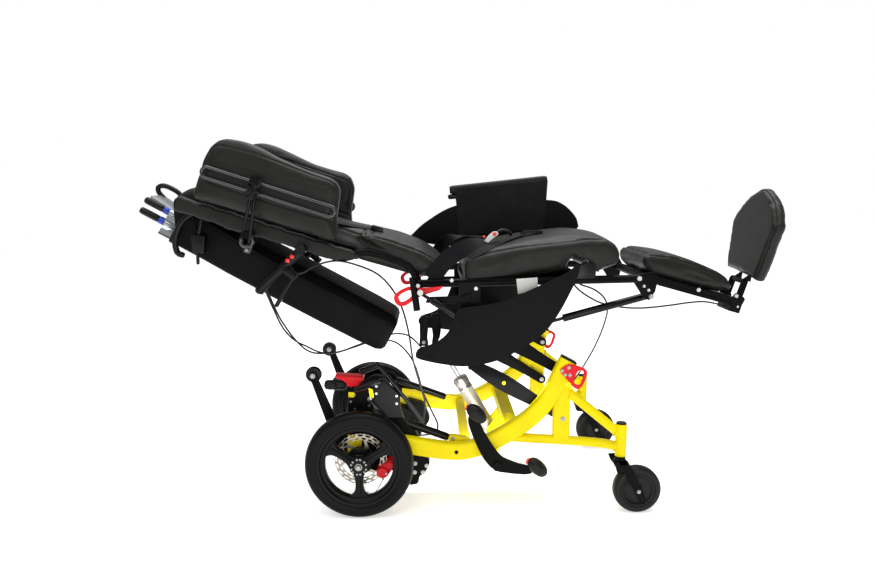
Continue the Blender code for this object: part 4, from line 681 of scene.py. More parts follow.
def piercedRing(centre, out, rows, cells, thick):  # staggered rows of oval windows, a wavy rim
    step = 2 * math.pi / cells
    points, faces = [], []

    def put(angle, radius, height):
        points.append(centre + Vector((math.cos(angle), 0, math.sin(angle))) * radius + out * height)
        return len(points) - 1

    for inside, outside, offset in rows:
        top = outside == rows[-1][1]
        for k in range(cells):
            start, high = step * (k + offset), outside - inside
            edge = ([(start + step * i / 4, inside) for i in range(4)]
                    + [(start + step, inside + high * i / 4) for i in range(4)]
                    + [(start + step - step * i / 4, outside) for i in range(4)]
                    + [(start, outside - high * i / 4) for i in range(4)])
            middle, centreline = start + step / 2, (inside + outside) / 2
            corner = []
            for angle, radius in edge:
                turn = math.atan2((radius - centreline) * 2 / high, (angle - middle) * 2 / step)
                if top and radius > outside - 1e-6:
                    radius += 0.0008 * math.cos(2 * cells * angle)
                hole = (middle + 0.36 * step * math.cos(turn), centreline + 0.34 * high * math.sin(turn))
                corner.append([put(*at, level) for at in ((angle, radius), hole)
                               for level in (-thick / 2, thick / 2)])
            for i in range(16):
                a, b = corner[i], corner[(i + 1) % 16]
                faces += [(a[1], b[1], b[3], a[3]), (b[0], a[0], a[2], b[2]), (a[3], b[3], b[2], a[2])]
                if (i < 4 and inside == rows[0][0]) or (8 <= i < 12 and top):
                    faces.append((a[0], b[0], b[1], a[1]))
    return points, faces


for hand, side in hands:
    x, y, z = wheelSet["axle"]
    axle, out, body = spot(x, side * y, z), Vector((0, side, 0)), hand + "_wheel"
    tyre = wheelSet["tyre"] + [(r, -h) for r, h in reversed(wheelSet["tyre"])]
    addPiece(hand + "_tyreRubber", [spun(tyre, axle, out, 96, ring=True)], tyreRubber, body,
             stands=(hand + "_tyre",), sharp=60)
    rim = wheelSet["rim"] + [(r, -h) for r, h in reversed(wheelSet["rim"])]
    shapes = [spun(rim, axle, out, 96, ring=True), spun(wheelSet["hub"], axle, out, 48, ring=True)]
    for turn in range(3):
        angle = -math.pi / 2 + 2 * math.pi * turn / 3
        forward = Vector((math.cos(angle), 0, math.sin(angle)))
        sideways = Vector((-math.sin(angle), 0, math.cos(angle)))
        loops = []
        for reach, half, face in wheelSet["spoke"]:
            rib = 0.0036 * max(0.0, min(1.0, (0.099 - reach) / 0.010))
            rightHalf = [(.0034, face + rib), (.0048, face), (half - .002, face), (half, face - .002),
                         (half, -.006)]
            section = [(-a, b) for a, b in reversed(rightHalf)] + rightHalf
            loops.append([axle + forward * reach + sideways * a + out * b for a, b in section])
        shapes.append(skin(loops))
    addPiece(hand + "_rimSpokes", shapes, rimNylon, body, stands=(hand + "_rim",), sharp=45)
    disc = axle + out * wheelSet["discOut"]
    thick = wheelSet["discThick"]
    shapes = [piercedRing(disc, out, wheelSet["discRows"], wheelSet["discCells"], thick),
              spun([(.0222, -thick / 2), (.0400, -thick / 2), (.0400, thick / 2), (.0222, thick / 2)], disc,
                   out, 48, ring=True)]
    for arm in range(6):
        start, end = math.pi / 3 * arm, math.pi / 3 * arm + 0.30
        root, tip = Vector((math.cos(start), 0, math.sin(start))), Vector((math.cos(end), 0, math.sin(end)))
        wide = (tip * .059 - root * .038).cross(out).normalized() * .0052
        corners = (root * .038 - wide, tip * .0592 - wide * .7, tip * .0592 + wide * .7, root * .038 + wide)
        shapes.append(skin([[disc + p + out * h for p in corners] for h in (-thick * .45, thick * .45)]))
    addPiece(hand + "_brakeDisc", shapes, discSteel, body, stands=(hand + "_brake_disc",))
    for pair in range(6):
        for lean in (-12, 12):
            angle = math.radians(60 * pair + 30 + lean)
            at = axle + Vector((math.cos(angle), 0, math.sin(angle))) * .0222 + out * .0262
            bolt(body, at, side, 0.0024, 0.0022, zincBolt, 12)
    bolt("base", axle + out * .0264, side, 0.0085, 0.010)
    pear = panel(bar((-.2350, .1190), (-.2130, .1430), .0190, .0130), *spread(side, .2300, .2692))
    addPiece(hand + "_caliperBody", [pear], redCoat, "base", stands=(hand + "_brake_caliper",), bevel=0.003)
    caps = [spun([(.0165, 0), (.0165, .0055), (.0145, .0075)], spot(-.2359, side * .2690, .1194), out, 36),
            spun([(.0105, 0), (.0105, .0045), (.0090, .0060)], spot(-.214, side * .2690, .142), out, 28)]
    addPiece(hand + "_caliperCaps", caps, redCoat, "base")
    for bx, bz in ((-.2241, .1173), (-.2333, .1008)):
        bolt("base", spot(bx, side * .2762, bz), side, 0.0030, 0.003)
    wire = smoothLine(mirrored(wheelSet["wire"], side), 0.006)
    addPiece(hand + "_caliperWire", [hose(wire, .0012, 8, domed=True)], brightSteel, "base")
print("rear wheels built")

# Casters

casterSet = {"stem": (.464, .276), "axleX": .515, "radius": .070,
             "wheel": [(.0053, .0182), (.0110, .0182), (.0130, .0150), (.0180, .0120), (.0380, .0110),
                       (.0420, .0140), (.0440, .0166), (.0490, .0172), (.0500, .0158), (.0515, .0158),
                       (.0525, .0176), (.0590, .0180), (.0640, .0172), (.0680, .0140), (.0696, .0085),
                       (.0700, .0030)],
             "leg": [(.4335, .1680), (.4414, .1690), (.4700, .1690), (.4790, .1640), (.5001, .1288),
                     (.5118, .1019), (.5280, .0726), (.5380, .0410), (.5340, .0310), (.5253, .0310),
                     (.5161, .0455), (.5010, .0727), (.4800, .1110), (.4620, .1400), (.4480, .1400),
                     (.4410, .1500)],
             "tab": [(.440, .160), (.452, .164), (.464, .132), (.457, .122), (.449, .128)]}
for hand, side in hands:
    y = side * casterSet["stem"][1]
    stem, axle = spot(casterSet["stem"][0], y, 0), spot(casterSet["axleX"], y, casterSet["radius"])
    profile = casterSet["wheel"] + [(r, -h) for r, h in reversed(casterSet["wheel"])]
    wheel = spun(profile, axle, (0, 1, 0), 64, ring=True)
    addPiece(hand + "_casterWheel", [wheel], wheelUrethane, hand + "_caster_wheel",
             stands=(hand + "_caster_wheel",), sharp=50)
    legs = [panel(roundOutline(casterSet["leg"], 0.004), *sorted((y + leg * .021, y + leg * .027)))
            for leg in (-1, 1)]
    crown = [(.446, .150), (.480, .150), (.476, .166), (.446, .166)]
    crown = panel(roundOutline(crown, 0.004), y - .027, y + .027)
    addPiece(hand + "_casterFork", legs + [crown], blackCoat, hand + "_caster_fork",
             stands=(hand + "_caster_fork",), bevel=0.0016)
    neck = spun([(.0150, .156), (.0150, .1690), (.0140, .1697)], stem, (0, 0, 1), 32)
    tab = panel(roundOutline(casterSet["tab"], 0.004), *spread(side, .3031, .3085))
    pin = spun([(.0045, -.0235), (.0045, .0235)], axle, (0, 1, 0), 16)
    addPiece(hand + "_casterNeck", [neck, tab, pin], blackCoat, hand + "_caster_fork")
    for face in (-1, 1):
        bolt(hand + "_caster_fork", axle + Vector((0, face * .027, 0)), face, 0.0048, 0.004, zincBolt, 16)
        for k in range(3):
            hole = spot(.519 + .0042 * k, y + face * .0269, .0620 - .0078 * k)
            bolt(hand + "_caster_fork", hole, face, 0.0017, 0.0006, softGrip, 12)
print("casters built")

# Rear axle carrier, anti-tip arms, parking-brake pedal

carrierSet = {"outer": .2277, "inner": .1977,
              "right": [(-.392, .176), (-.378, .150), (-.255, .105), (-.175, .110), (-.150, .150),
                        (-.120, .190), (-.140, .232), (-.172, .262), (-.184, .300), (-.184, .340),
                        (-.208, .363), (-.234, .390), (-.258, .376), (-.290, .352), (-.336, .344),
                        (-.345, .250), (-.388, .222)],
              "left": [(-.392, .176), (-.378, .150), (-.255, .105), (-.175, .110), (-.160, .140),
                       (-.165, .160), (-.215, .190), (-.235, .250), (-.262, .290), (-.300, .290),
                       (-.340, .262), (-.388, .222)],
              "foot": [(-.176, .205), (-.118, .188), (-.0958, .137), (-.0985, .122), (-.114, .0968),
                       (-.1265, .093), (-.1303, .0673), (-.158, .062), (-.176, .112)],
              "strut": [(-.2178, .2725), (-.0373, .2060)], "strutRadius": .0118}
shapes = [spun([(.022, -.2077), (.022, .2077)], spot(-.300, 0, .1575), (0, 1, 0), 32)]
for hand, side in hands:
    near, far = carrierSet["inner"], carrierSet["outer"]
    shapes += [panel(roundOutline(carrierSet[hand], 0.014), *spread(side, near, far)),
               panel(roundOutline(carrierSet["foot"], 0.009), *spread(side, near + .002, far + .004)),
               spun([(.010, 0), (.010, .129)], spot(-.300, side * near, .1575), (0, side, 0), 24)]
    for x, z in ((-.140, .1315), (-.105, .124), (-.1414, .104), (-.1168, .104)):
        bolt("base", spot(x, side * (far + .004), z), side, 0.0052, 0.004, whiteNylon, 6)
addPiece("axleCarrier", shapes, blackCoat, "base", stands=("rear_axle_carrier",), bevel=0.002)
tubes, lugs = [], []
for hand, side in hands:
    y = side * (carrierSet["outer"] - .013)
    ends = [spot(x, y, z) for x, z in carrierSet["strut"]]
    tubes.append(hose(ends, carrierSet["strutRadius"], 16, domed=True))
    lugs.append(panel(bar((-.030, .206), (.006, .198), .0105, .0130), *spread(side, .2050, .2277)))
    bolt("base", spot(-.027, side * .2277, .2075), side, 0.0050, 0.004)
tubes += [hose([spot(-.247, -.205, .427), spot(-.114, -.205, .2506)], .0060, 12, domed=True),
          hose([spot(-.2735, -.2325, .325), spot(-.2181, -.2325, .2668)], .0052, 12, domed=True),
          hose([spot(-.306, -.190, .402), spot(-.244, -.198, .428)], .0095, 14, domed=True),
          hose([spot(-.316, -.232, .362), spot(-.2834, -.232, .3725), spot(-.2388, -.232, .3848)], .0075,
               12, domed=True),
          hose([spot(-.292, -.186, .396), spot(-.2928, -.186, .4161)], .0042, 12, domed=True)]
addPiece("carrierTubes", tubes, glossBlack, "base")
addPiece("strutLugs", lugs, yellowCoat, "base", bevel=0.0015)
yellowBits = (([(-.3404, .2221), (-.2981, .2093), (-.302, .168), (-.3413, .167)], 0.004, -.2300),
              ([(-.3363, .352), (-.3182, .350), (-.3190, .336), (-.3363, .336)], 0.003, -.2305),
              ([(-.2775, .3645), (-.2650, .3600), (-.2610, .3345), (-.2730, .3360)], 0.003, -.2305))
addPiece("carrierYellow", [panel(roundOutline(bit, corner), face, -.2270)
                           for bit, corner, face in yellowBits],
         yellowCoat, "base", bevel=0.0006)
for x, z, radius in ((-.274, .330, .0055), (-.2537, .369, .003), (-.254, .3466, .003), (-.194, .339, .003),
                     (-.194, .3157, .003), (-.276, .310, .003), (-.319, .3430, .003), (-.3300, .322, .003),
                     (-.318, .300, .003)):
    bolt("base", spot(x, -.2277, z), -1, radius, 0.003)

antitipSet = {"pivot": (-.372, .198), "tip": (-.446, .392), "roller": .024}
for hand, side in hands:
    arm = panel(bar(antitipSet["pivot"], antitipSet["tip"], .0185, .0105), *spread(side, .1856, .1974))
    addPiece(hand + "_antitipArm", [arm], blackCoat, hand + "_antitip_arm", stands=(hand + "_antitip_arm",),
             bevel=0.0025)
    tip = spot(antitipSet["tip"][0], side * .1851, antitipSet["tip"][1])
    r = antitipSet["roller"]
    profile = [(.004, 0), (r - .006, 0), (r - .002, .0014), (r, .005), (r, .015), (r - .002, .0186),
               (r - .006, .020), (.004, .020)]
    roller = spun(profile, tip, (0, -side, 0), 40)
    addPiece(hand + "_antitipRoller", [roller], wheelUrethane, hand + "_antitip_roller",
             stands=(hand + "_antitip_roller",))
    x, z = antitipSet["tip"]
    bolt(hand + "_antitip_arm", spot(x, side * .1974, z), side, 0.0062, 0.005)
    bolt(hand + "_antitip_roller", spot(x, side * .1651, z), -side, 0.0062, 0.004)

pedalSet = {"plate": [(-.3810, .3920), (-.2960, .3865), (-.2945, .3800), (-.3150, .3595), (-.3430, .3600),
                      (-.3470, .3715), (-.3610, .3805), (-.3790, .3860)],
            "sleeve": ((-.4135, .3625), (-.3440, .3600)), "radius": .0150}
addPiece("pedalPlate", [panel(roundOutline(pedalSet["plate"], 0.004), -.1970, -.1480)], redCoat,
         "brake_pedal", stands=("brake_pedal",), bevel=0.0015)
sleeve = hose([spot(x, -.184, z) for x, z in pedalSet["sleeve"]], pedalSet["radius"], 24, domed=True)
crossbar = hose([spot(-.384, -.2080, .366), spot(-.384, -.1370, .366)], .0095, 20, domed=True)
addPiece("pedalSleeve", [sleeve, crossbar], wheelUrethane, "brake_pedal")
print("rear axle built")

# Pump lever, lift links, lift cylinder

pumpSet = {"pivot": (.102, .142), "upper": (.0388, .3070), "lower": (.2170, .1450), "y": (-.282, -.274),
           "lean": math.radians(-43),
           "arms": [(.0170, .3000), (.0148, .2730), (.0287, .2330), (.0461, .1928), (.0614, .1636),
                    (.0810, .1387), (.1027, .1242), (.1460, .1181), (.1849, .1148), (.2060, .1185),
                    (.2060, .1340), (.1931, .1427), (.1628, .1496), (.1390, .1587), (.1151, .1701),
                    (.0999, .1881), (.0824, .2127), (.0585, .2551), (.0476, .2800), (.0400, .3000)]}


def pumpPad(centre, wide, deep, high, lean):  # a soft egg-shaped foot pad, tipped
    along, up = Vector((math.cos(lean), 0, math.sin(lean))), Vector((-math.sin(lean), 0, math.cos(lean)))
    loops = []
    for ring in range(1, 12):
        angle = -math.pi / 2 + math.pi * ring / 12
        out, lift = math.cos(angle) ** 0.8, math.sin(angle)
        turns = [2 * math.pi * k / 32 for k in range(32)]
        loops.append([centre + along * wide * out * math.cos(t) + flat * deep * out * math.sin(t)
                      + up * high * lift for t in turns])
    return skin(loops)


arms = [panel(roundOutline(pumpSet["arms"], 0.010), *pumpSet["y"])]
arms.append(spun([(.0150, 0), (.0150, .0120), (.0125, .0140)],
                 spot(pumpSet["pivot"][0], -.2740, pumpSet["pivot"][1]), (0, -1, 0), 36))
arms.append(spun([(.010, 0), (.010, .1535)], spot(.104, -.2745, .136), (0, 1, 0), 24))
addPiece("pumpLever", arms, blackCoat, "pump_lever", stands=("pump_lever",), bevel=0.002)
collars = []
for end in ("upper", "lower"):
    centre = spot(pumpSet[end][0], -.299, pumpSet[end][1])
    addPiece("pumpPad_" + end, [pumpPad(centre, .0350, .022, .0205, pumpSet["lean"])], wheelUrethane,
             "pump_lever", sharp=80)
    collars.append(spun([(.0070, -.004), (.0085, -.003), (.0085, .003), (.0070, .004)],
                        centre + Vector((-.0270, .004, .0170)), (-.75, 0, .3), 28))
addPiece("pumpCollars", collars, redButton, "pump_lever")

linkSet = {"front": (.305, .270), "rise": .136, "length": .320, "slope": 30.6, "eye": .015,
           "halves": [(0, .015), (.05, .0155), (.10, .0175), (.16, .0225), (.21, .0245), (.245, .0232),
                      (.28, .0200), (.320, .015)]}
slope = math.radians(linkSet["slope"])
run, lift = Vector((-math.cos(slope), math.sin(slope))), Vector((math.sin(slope), math.cos(slope)))
edge = smoothLine([Vector((a, b, 0)) for a, b in linkSet["halves"]], 0.012)
eye = linkSet["eye"]
leaf = [(p.x, p.y) for p in edge]
leaf += [(linkSet["length"] + eye * math.cos(math.pi * k / 8), eye * math.sin(math.pi * k / 8))
         for k in (2, 1, 0, -1, -2)]
leaf += [(p.x, -p.y) for p in reversed(edge)]
turns = [-math.pi / 2 + math.pi * k / 8 for k in range(1, 8)]
leaf += [(-eye * math.cos(t), eye * math.sin(t)) for t in turns]
for hand, side in hands:
    for level, rise in (("lower", 0.0), ("upper", linkSet["rise"])):
        front = Vector((linkSet["front"][0], linkSet["front"][1] + rise))
        outline = [tuple(front + run * a + lift * b) for a, b in leaf]
        link = panel(outline, *spread(side, .2158, .2276))
        addPiece(hand + "_" + level + "Link", [link], blackCoat, level + "_links",
                 stands=(hand + "_" + level + "_link",), bevel=0.002)
        bolt(level + "_links", spot(front.x, side * .2158, front.y), -side, 0.0060, 0.004)
dot = spun([(.0055, 0), (.0055, .0012), (.0045, .0016)], spot(.1237, -.2276, .3779), (0, -1, 0), 24)
addPiece("linkDot", [dot], yellowCoat, "lower_links")
dressNode("seat_carrier", blackCoat, 0.0015)
bracketSet = {"rear": [(-.127, .556), (-.112, .562), (-.097, .556), (-.101, .520), (-.103, .492),
                       (-.099, .471), (-.128, .469), (-.126, .500)],
              "front": [(-.092, .566), (-.068, .570), (-.060, .530), (-.064, .498), (-.076, .473),
                        (-.090, .471), (-.086, .500), (-.090, .530)],
              "web": [(-.122, .550), (-.066, .562), (-.064, .524), (-.120, .524)]}
plates = [panel(roundOutline(bracketSet[part], 0.006), low, high)
          for part, low, high in (("rear", -.136, -.108), ("front", -.136, -.108), ("web", -.128, -.114))]
addPiece("carrierBracket", plates, blackCoat, "seat_carrier", bevel=0.001)
bolt("seat_carrier", spot(-.114, -.136, .482), -1, 0.0042)

cylinderSet = {"pivot": (.100, .166), "lug": (-.055, .430)}
reach = Vector(cylinderSet["lug"]) - Vector(cylinderSet["pivot"])
heading = Vector((reach.x, 0, reach.y)).normalized()
foot = spot(cylinderSet["pivot"][0], 0, cylinderSet["pivot"][1])
barrel = [(.0150, .000), (.0225, .004), (.0240, .010), (.0240, .030), (.0228, .032), (.0228, .150),
          (.0242, .152), (.0242, .160), (.0228, .162), (.0228, .172), (.0246, .174), (.0246, .190),
          (.0225, .196), (.0095, .196)]
trunnion = spun([(.012, -.0277), (.012, .0277)], foot, (0, 1, 0), 28)
addPiece("liftBarrel", [spun(barrel, foot, heading, 48), trunnion], cylinderAlloy, "lift_cylinder",
         stands=("lift_cylinder",))
wide = Vector((heading.z, 0, -heading.x))
rods = [hose([foot + heading * at + wide * a + flat * b for at in (.116, reach.length - .012)], .0024, 12)
        for a, b in ((.0050, .0045), (-.0050, .0045), (.0050, -.0045), (-.0050, -.0045))]
rods.append(spun([(.0086, reach.length - .030), (.0086, reach.length), (.0070, reach.length + .002)], foot,
                 heading, 24))
addPiece("liftRods", rods, brightSteel, "lift_rod", stands=("lift_rod",))
print("lift built")

# Seat frame, side guards, recline strut, hip post

dressNode("seat_frame", blackCoat, 0.001)
guardSet = {"edge": [(-.1365, .470), (-.132, .487), (-.119, .4965), (-.096, .503), (-.070, .515),
                     (-.043, .540), (-.026, .580), (-.017, .601), (-.002, .6105), (.079, .621),
                     (.151, .644), (.221, .676), (.292, .710), (.321, .7335), (.329, .7335), (.3315, .727),
                     (.326, .701), (.310, .664), (.275, .595), (.230, .534), (.153, .481), (.087, .452),
                     (.009, .439), (-.063, .446), (-.124, .460)]}
edge = [Vector((x, z, 0)) for x, z in guardSet["edge"]]
guardEdge = smoothRing(edge, 0.010)
for hand, side in hands:
    guard = panel([(p.x, p.y) for p in guardEdge], *spread(side, .2671, .2716))
    addPiece(hand + "_guardSheet", [guard], guardSheet, "seat", stands=(hand + "_side_guard",),
             bevel=0.0012)
    for x, z in ((-.002, .566), (-.091, .467), (.298, .696)):
        bolt("seat", spot(x, side * .2717, z), side, 0.0034, 0.0030, blackCoat)
    bolt("seat", spot(-.0317, side * .2338, .6851), side, 0.0045)
    bolt("seat", spot(.0384, side * .2340, .6609), side, 0.0045)
    bolt("seat", spot(.5128, side * .2338, .6895), side, 0.0055, 0.004, whiteNylon, 16)
    post = [spot(-.1451, side * .2520, .696), spot(-.132, side * .2520, .600)]
    addPiece(hand + "_hipPost", [hose(post, .0100, 20)], blackCoat, "back")
    bolt("back", spot(-.1290, side * .2620, .6732), side, 0.0045)
    arch = [(.322, .688), (.334, .727), (.350, .7345), (.378, .7355), (.388, .727), (.384, .690)]
    arch = panel(roundOutline(arch, 0.006), *spread(side, .2140, .2345))
    addPiece(hand + "_archBracket", [arch], softGrip, "seat", bevel=0.002)
bolt("back", spot(-.1227, -.2625, .653), -1, 0.0070, 0.005, whiteNylon, 20)
dressNode("recline_strut_tube", glossBlack, 0.001)
dressNode("recline_strut_rod", glossBlack, 0.0006)
barePlate = panel([(.1548, .6890), (.2156, .6935), (.2180, .6600), (.1605, .6446)], -.2352, -.2342)
addPiece("barePlate", [barePlate], whiteNylon, "seat")

# Back frame: cranked rails, pan, lateral clamps, grab hook

backSet = {"railY": .195, "railRadius": .0115, "hookY": -.158,
           "rail": [(0, 0), (.03, .031), (.06, .042), (.165, .042), (.21, .015), (.245, 0), (.32, 0),
                    (.736, 0)],
           "hook": [(.690, -.004), (.718, -.045), (.724, -.095), (.708, -.135), (.684, -.138)],
           "pan": [(.25, -.005), (.74, -.005), (.74, .005), (.25, .005)],
           "clamp": [(.6802, -.070), (.640, -.062), (.629, -.112), (.662, -.120)]}
shapes = [panel(roundOutline(backSet["pan"], 0.002), -.195, .195, onBack)]
for hand, side in hands:
    rail = smoothLine([onBack(a, b, side * backSet["railY"]) for a, b in backSet["rail"]], 0.012)
    shapes += [hose(rail, backSet["railRadius"], 16),
               hose([onBack(0, 0, side * .195), onBack(0, 0, side * .2097)], .0105, 16),
               panel(roundOutline([(.494, -.020), (.516, -.020), (.516, 0), (.494, 0)], 0.003),
                     *spread(side, .195, .2713), onBack)]
shapes += [panel(bar((-.129, .674), (-.122, .650), .009, .009), -.2085, -.1985),
           hose([spot(-.122, -.2045, .650), spot(-.122, -.2625, .650)], .005, 14)]
addPiece("backFrame", shapes, blackCoat, "back", stands=("back_frame",))
hookLine = smoothLine([onBack(a, b, backSet["hookY"]) for a, b in backSet["hook"]], 0.008)
addPiece("grabHook", [hose(hookLine, .009, 18, domed=True)], softGrip, "back")
clamp = [panel(roundOutline(backSet["clamp"], 0.005), -.172, -.144, onBack),
         hose([onBack(.652, -.112, -.158), onBack(.6395, -.152, -.158)], .005, 14, domed=True),
         hose([onBack(.668, -.004, -.158), onBack(.660, -.070, -.158)], .006, 14)]
addPiece("hookClamp", clamp, softGrip, "back", bevel=0.001)
for hand, side in hands:
    rods = [hose([onBack(.5205, .110, side * .2735), onBack(.5135, -.024, side * .2660)], .0042, 12),
            hose([onBack(.5095, .110, side * .2735), onBack(.4900, -.030, side * .2660)], .0042, 12),
            panel(roundOutline([(.502, .128), (.534, .128), (.534, .157), (.502, .155)], 0.005),
                  *spread(side, .2673, .2795), onBack),
            panel(roundOutline([(.509, .090), (.528, .090), (.528, .132), (.509, .132)], 0.004),
                  *spread(side, .2673, .2795), onBack)]
    addPiece(hand + "_lateralClamp", rods, glossBlack, "back", bevel=0.0012)
    ring = [hose(circleLine(onBack(.4985, -.026, side * .262), flat, .0165, 28), .0055, 12, ring=True),
            panel(roundOutline([(.480, -.058), (.500, -.058), (.500, -.036), (.480, -.036)], 0.004),
                  *spread(side, .2560, .2655), onBack)]
    addPiece(hand + "_clampRing", ring, blackChrome, "back", bevel=0.001)
    star = [((.0160 + .0072 * math.cos(5 * t)) * math.cos(t + .6),
             (.0160 + .0072 * math.cos(5 * t)) * math.sin(t + .6))
            for t in (2 * math.pi * k / 60 for k in range(60))]
    knob = panel([(.5185 + a, .116 + b) for a, b in star], *spread(side, .2795, .2915), onBack)
    addPiece(hand + "_starKnob", [knob], softGrip, "back", bevel=0.0015, sharp=50)
    bolt("back", onBack(.5185, .116, side * .2915), side, 0.0046, 0.004, softGrip, 20)
    bolt("back", onBack(.4905, -.050, side * .2660), side, 0.0036, 0.003)

# Push handles with brake levers

handleSet = {"y": .2258,
             "grip": [(.351, -.006), (.3637, -.0338), (.390, -.080), (.4146, -.1228), (.4300, -.1510),
                      (.4330, -.1680)],
             "hub": [(.0140, -.019), (.0152, -.017), (.0152, .012), (.0140, .014)],
             "box": [(.3800, -.0640), (.3351, -.0800), (.3430, -.0990), (.3850, -.0830)],
             "buttons": ((.3680, -.0330), (.3765, -.0475)), "buttonHalf": (.0055, .0052)}
for hand, side in hands:
    out, body = handleSet["y"], hand + "_push_handle"
    y = side * out
    grip = smoothLine([onBack(a, b, y) for a, b in handleSet["grip"]], 0.008)
    shapes = [hose(grip, .0138, 20, domed=True), spun(handleSet["hub"], onBack(.351, -.006, y),
                                                      (0, side, 0), 32),
              hose([onBack(.374, -.058, y), spot(-.487, y + side * .0075, .703)], .0062, 14, domed=True)]
    addPiece(hand + "_gripHandle", shapes, softGrip, body, stands=(hand + "_push_handle",))
    block = panel(roundOutline(handleSet["box"], 0.005), *spread(side, out + .0030, out + .0165), onBack)
    addPiece(hand + "_leverBox", [block], glossBlack, body, bevel=0.0015)
    wide, high = handleSet["buttonHalf"]
    buttons = []
    for a, b in handleSet["buttons"]:
        face = [(a - wide, b - high), (a + wide, b - high), (a + wide, b + high), (a - wide, b + high)]
        buttons.append(panel(roundOutline(face, 0.002), *spread(side, out + .010, out + .0175), onBack))
    addPiece(hand + "_handleButtons", buttons, redButton, body, bevel=0.001)
    lever = panel(bar((-.487, .703), (-.540, .612), .0080, .0062), *spread(side, out - .005, out + .005))
    addPiece(hand + "_brakeLever", [lever], glossBlack, hand + "_brake_lever",
             stands=(hand + "_brake_lever",), bevel=0.0028)
sleeveSet = {"high": .032, "y": (.1700, .2072),
             "low": [(.190, .010), (.235, -.006), (.262, -.0135), (.440, -.0135), (.551, -.019),
                     (.620, -.0145), (.735, -.0135)]}
backUp = Vector((math.sin(backSlope), 0, math.cos(backSlope)))
for hand, side in hands:
    loops = []
    for p in smoothLine([Vector((s, t, 0)) for s, t in sleeveSet["low"]], 0.010):
        middle = onBack(p.x, (p.y + sleeveSet["high"]) / 2, side * sum(sleeveSet["y"]) / 2)
        wobble = 0.0012 * math.sin(p.x * 90) + 0.0008 * math.sin(p.x * 210)  # the cover is loose here
        loops.append(roundLoop(middle, flat, backUp, (sleeveSet["y"][1] - sleeveSet["y"][0]) / 2,
                               (sleeveSet["high"] - p.y) / 2 - .001 + wobble, .009, 5))
    sleeve = addPiece(hand + "_railSleeve", [skin(loops)], padCover, "back", sharp=70)
print("back frame and handles built")

# Leg rest frame, leg strut, foot slide

dressNode("leg_frame", blackCoat, 0.001)
dressNode("leg_strut_tube", glossBlack, 0.001)
dressNode("leg_strut_rod", glossBlack, 0.0006)
dressNode("foot_slide", blackCoat, 0.0012)
for hand, side in hands:
    for x, z, radius in ((.5340, .6640, .0034), (.5480, .6520, .0036)):
        bolt("leg", spot(x, side * .2097, z), side, radius, 0.003, whiteNylon, 16)
    bolt("leg", spot(.5560, side * .2097, .6330), side, 0.0060, 0.006, zincBolt, 18)
    bolt("leg", onLeg(.2066, .012, side * .1502), side, 0.0050, 0.004, whiteNylon, 16)
    gusset = [(.350, .004), (.360, .030), (.372, .034), (.3975, .020), (.3890, -.016), (.372, -.020)]
    gusset = panel(roundOutline(gusset, 0.006), *spread(side, .0501, .0541), onLeg)
    addPiece(hand + "_footGusset", [gusset], blackCoat, "foot_slide", bevel=0.001)
    for a, b, radius in ((.366, .022, .0050), (.378, .010, .0030), (.381, -.0095, .0030)):
        bolt("foot_slide", onLeg(a, b, side * .0541), side, radius, 0.003, whiteNylon, 16)

# Left armrest: padded bar, cloth panel, rounded guard

armSet = {"bar": [(-.025, .9410), (.150, .9595), (.317, .9775)], "barY": .271, "half": (.0160, .0150),
          "guard": [(-.1652, .7796), (-.1064, .8321), (-.0012, .8880), (.16, .903), (.3168, .9073),
                    (.3727, .8928), (.4147, .8549), (.4280, .8257), (.4218, .8020), (.33, .76), (.21, .74),
                    (.11, .74), (-.06, .748), (-.140, .765)],
          "cloth": [(-.008, .945), (.010, .782), (.309, .804), (.318, .975)], "clothThick": .003}
line = smoothLine([spot(x, armSet["barY"], z) for x, z in armSet["bar"]], 0.010)
loops = []
for i, point in enumerate(line):
    pull = .003 if i in (0, len(line) - 1) else 0  # its ends are a little smaller
    wide, deep = (half - pull for half in armSet["half"])
    loops.append(roundLoop(point, flat, upFrom(headingAt(line, i)), wide, deep, .0105, 5))
armBar = addPiece("armrestBar", [skin(loops)], padCover, "left_armrest", stands=("left_armrest",), sharp=60)
armRail = hose([spot(-.0310, .2710, .9170), spot(.020, .2710, .9215)], .0092, 20, domed=True)
addPiece("armrestRail", [armRail], glossBlack, "left_armrest")
guardLine = smoothLine([Vector((x, z, 0)) for x, z in armSet["guard"] + armSet["guard"][:1]], 0.012)[:-1]
stem = [(.130, .7060), (.190, .7060), (.190, .800), (.130, .800)]
guard = panel([(p.x, p.y) for p in guardLine], .2575, .2635)
addPiece("armrestGuard", [guard, panel(stem, .2583, .2627)], guardSheet, "left_armrest", bevel=0.0015)
cornersOf = [Vector(c) for c in armSet["cloth"]]
loops = []
for k in range(13):
    u = k / 12
    top, low = cornersOf[0].lerp(cornersOf[3], u), cornersOf[1].lerp(cornersOf[2], u)
    column = [(top.lerp(low, j / 10), 0.0022 * math.sin(math.pi * u) * math.sin(math.pi * j / 10))
              for j in range(11)]
    thick = armSet["clothThick"] * (1.0 if k in (0, 12) else 0.6)
    loops.append([onSide(p.x, p.y, .2545 - bulge) for p, bulge in column]
                 + [onSide(p.x, p.y, .2545 - bulge + thick) for p, bulge in reversed(column)])
armCloth = addPiece("armrestCloth", [skin(loops)], panelCloth, "left_armrest", sharp=60)

# Folded ramp in its bag

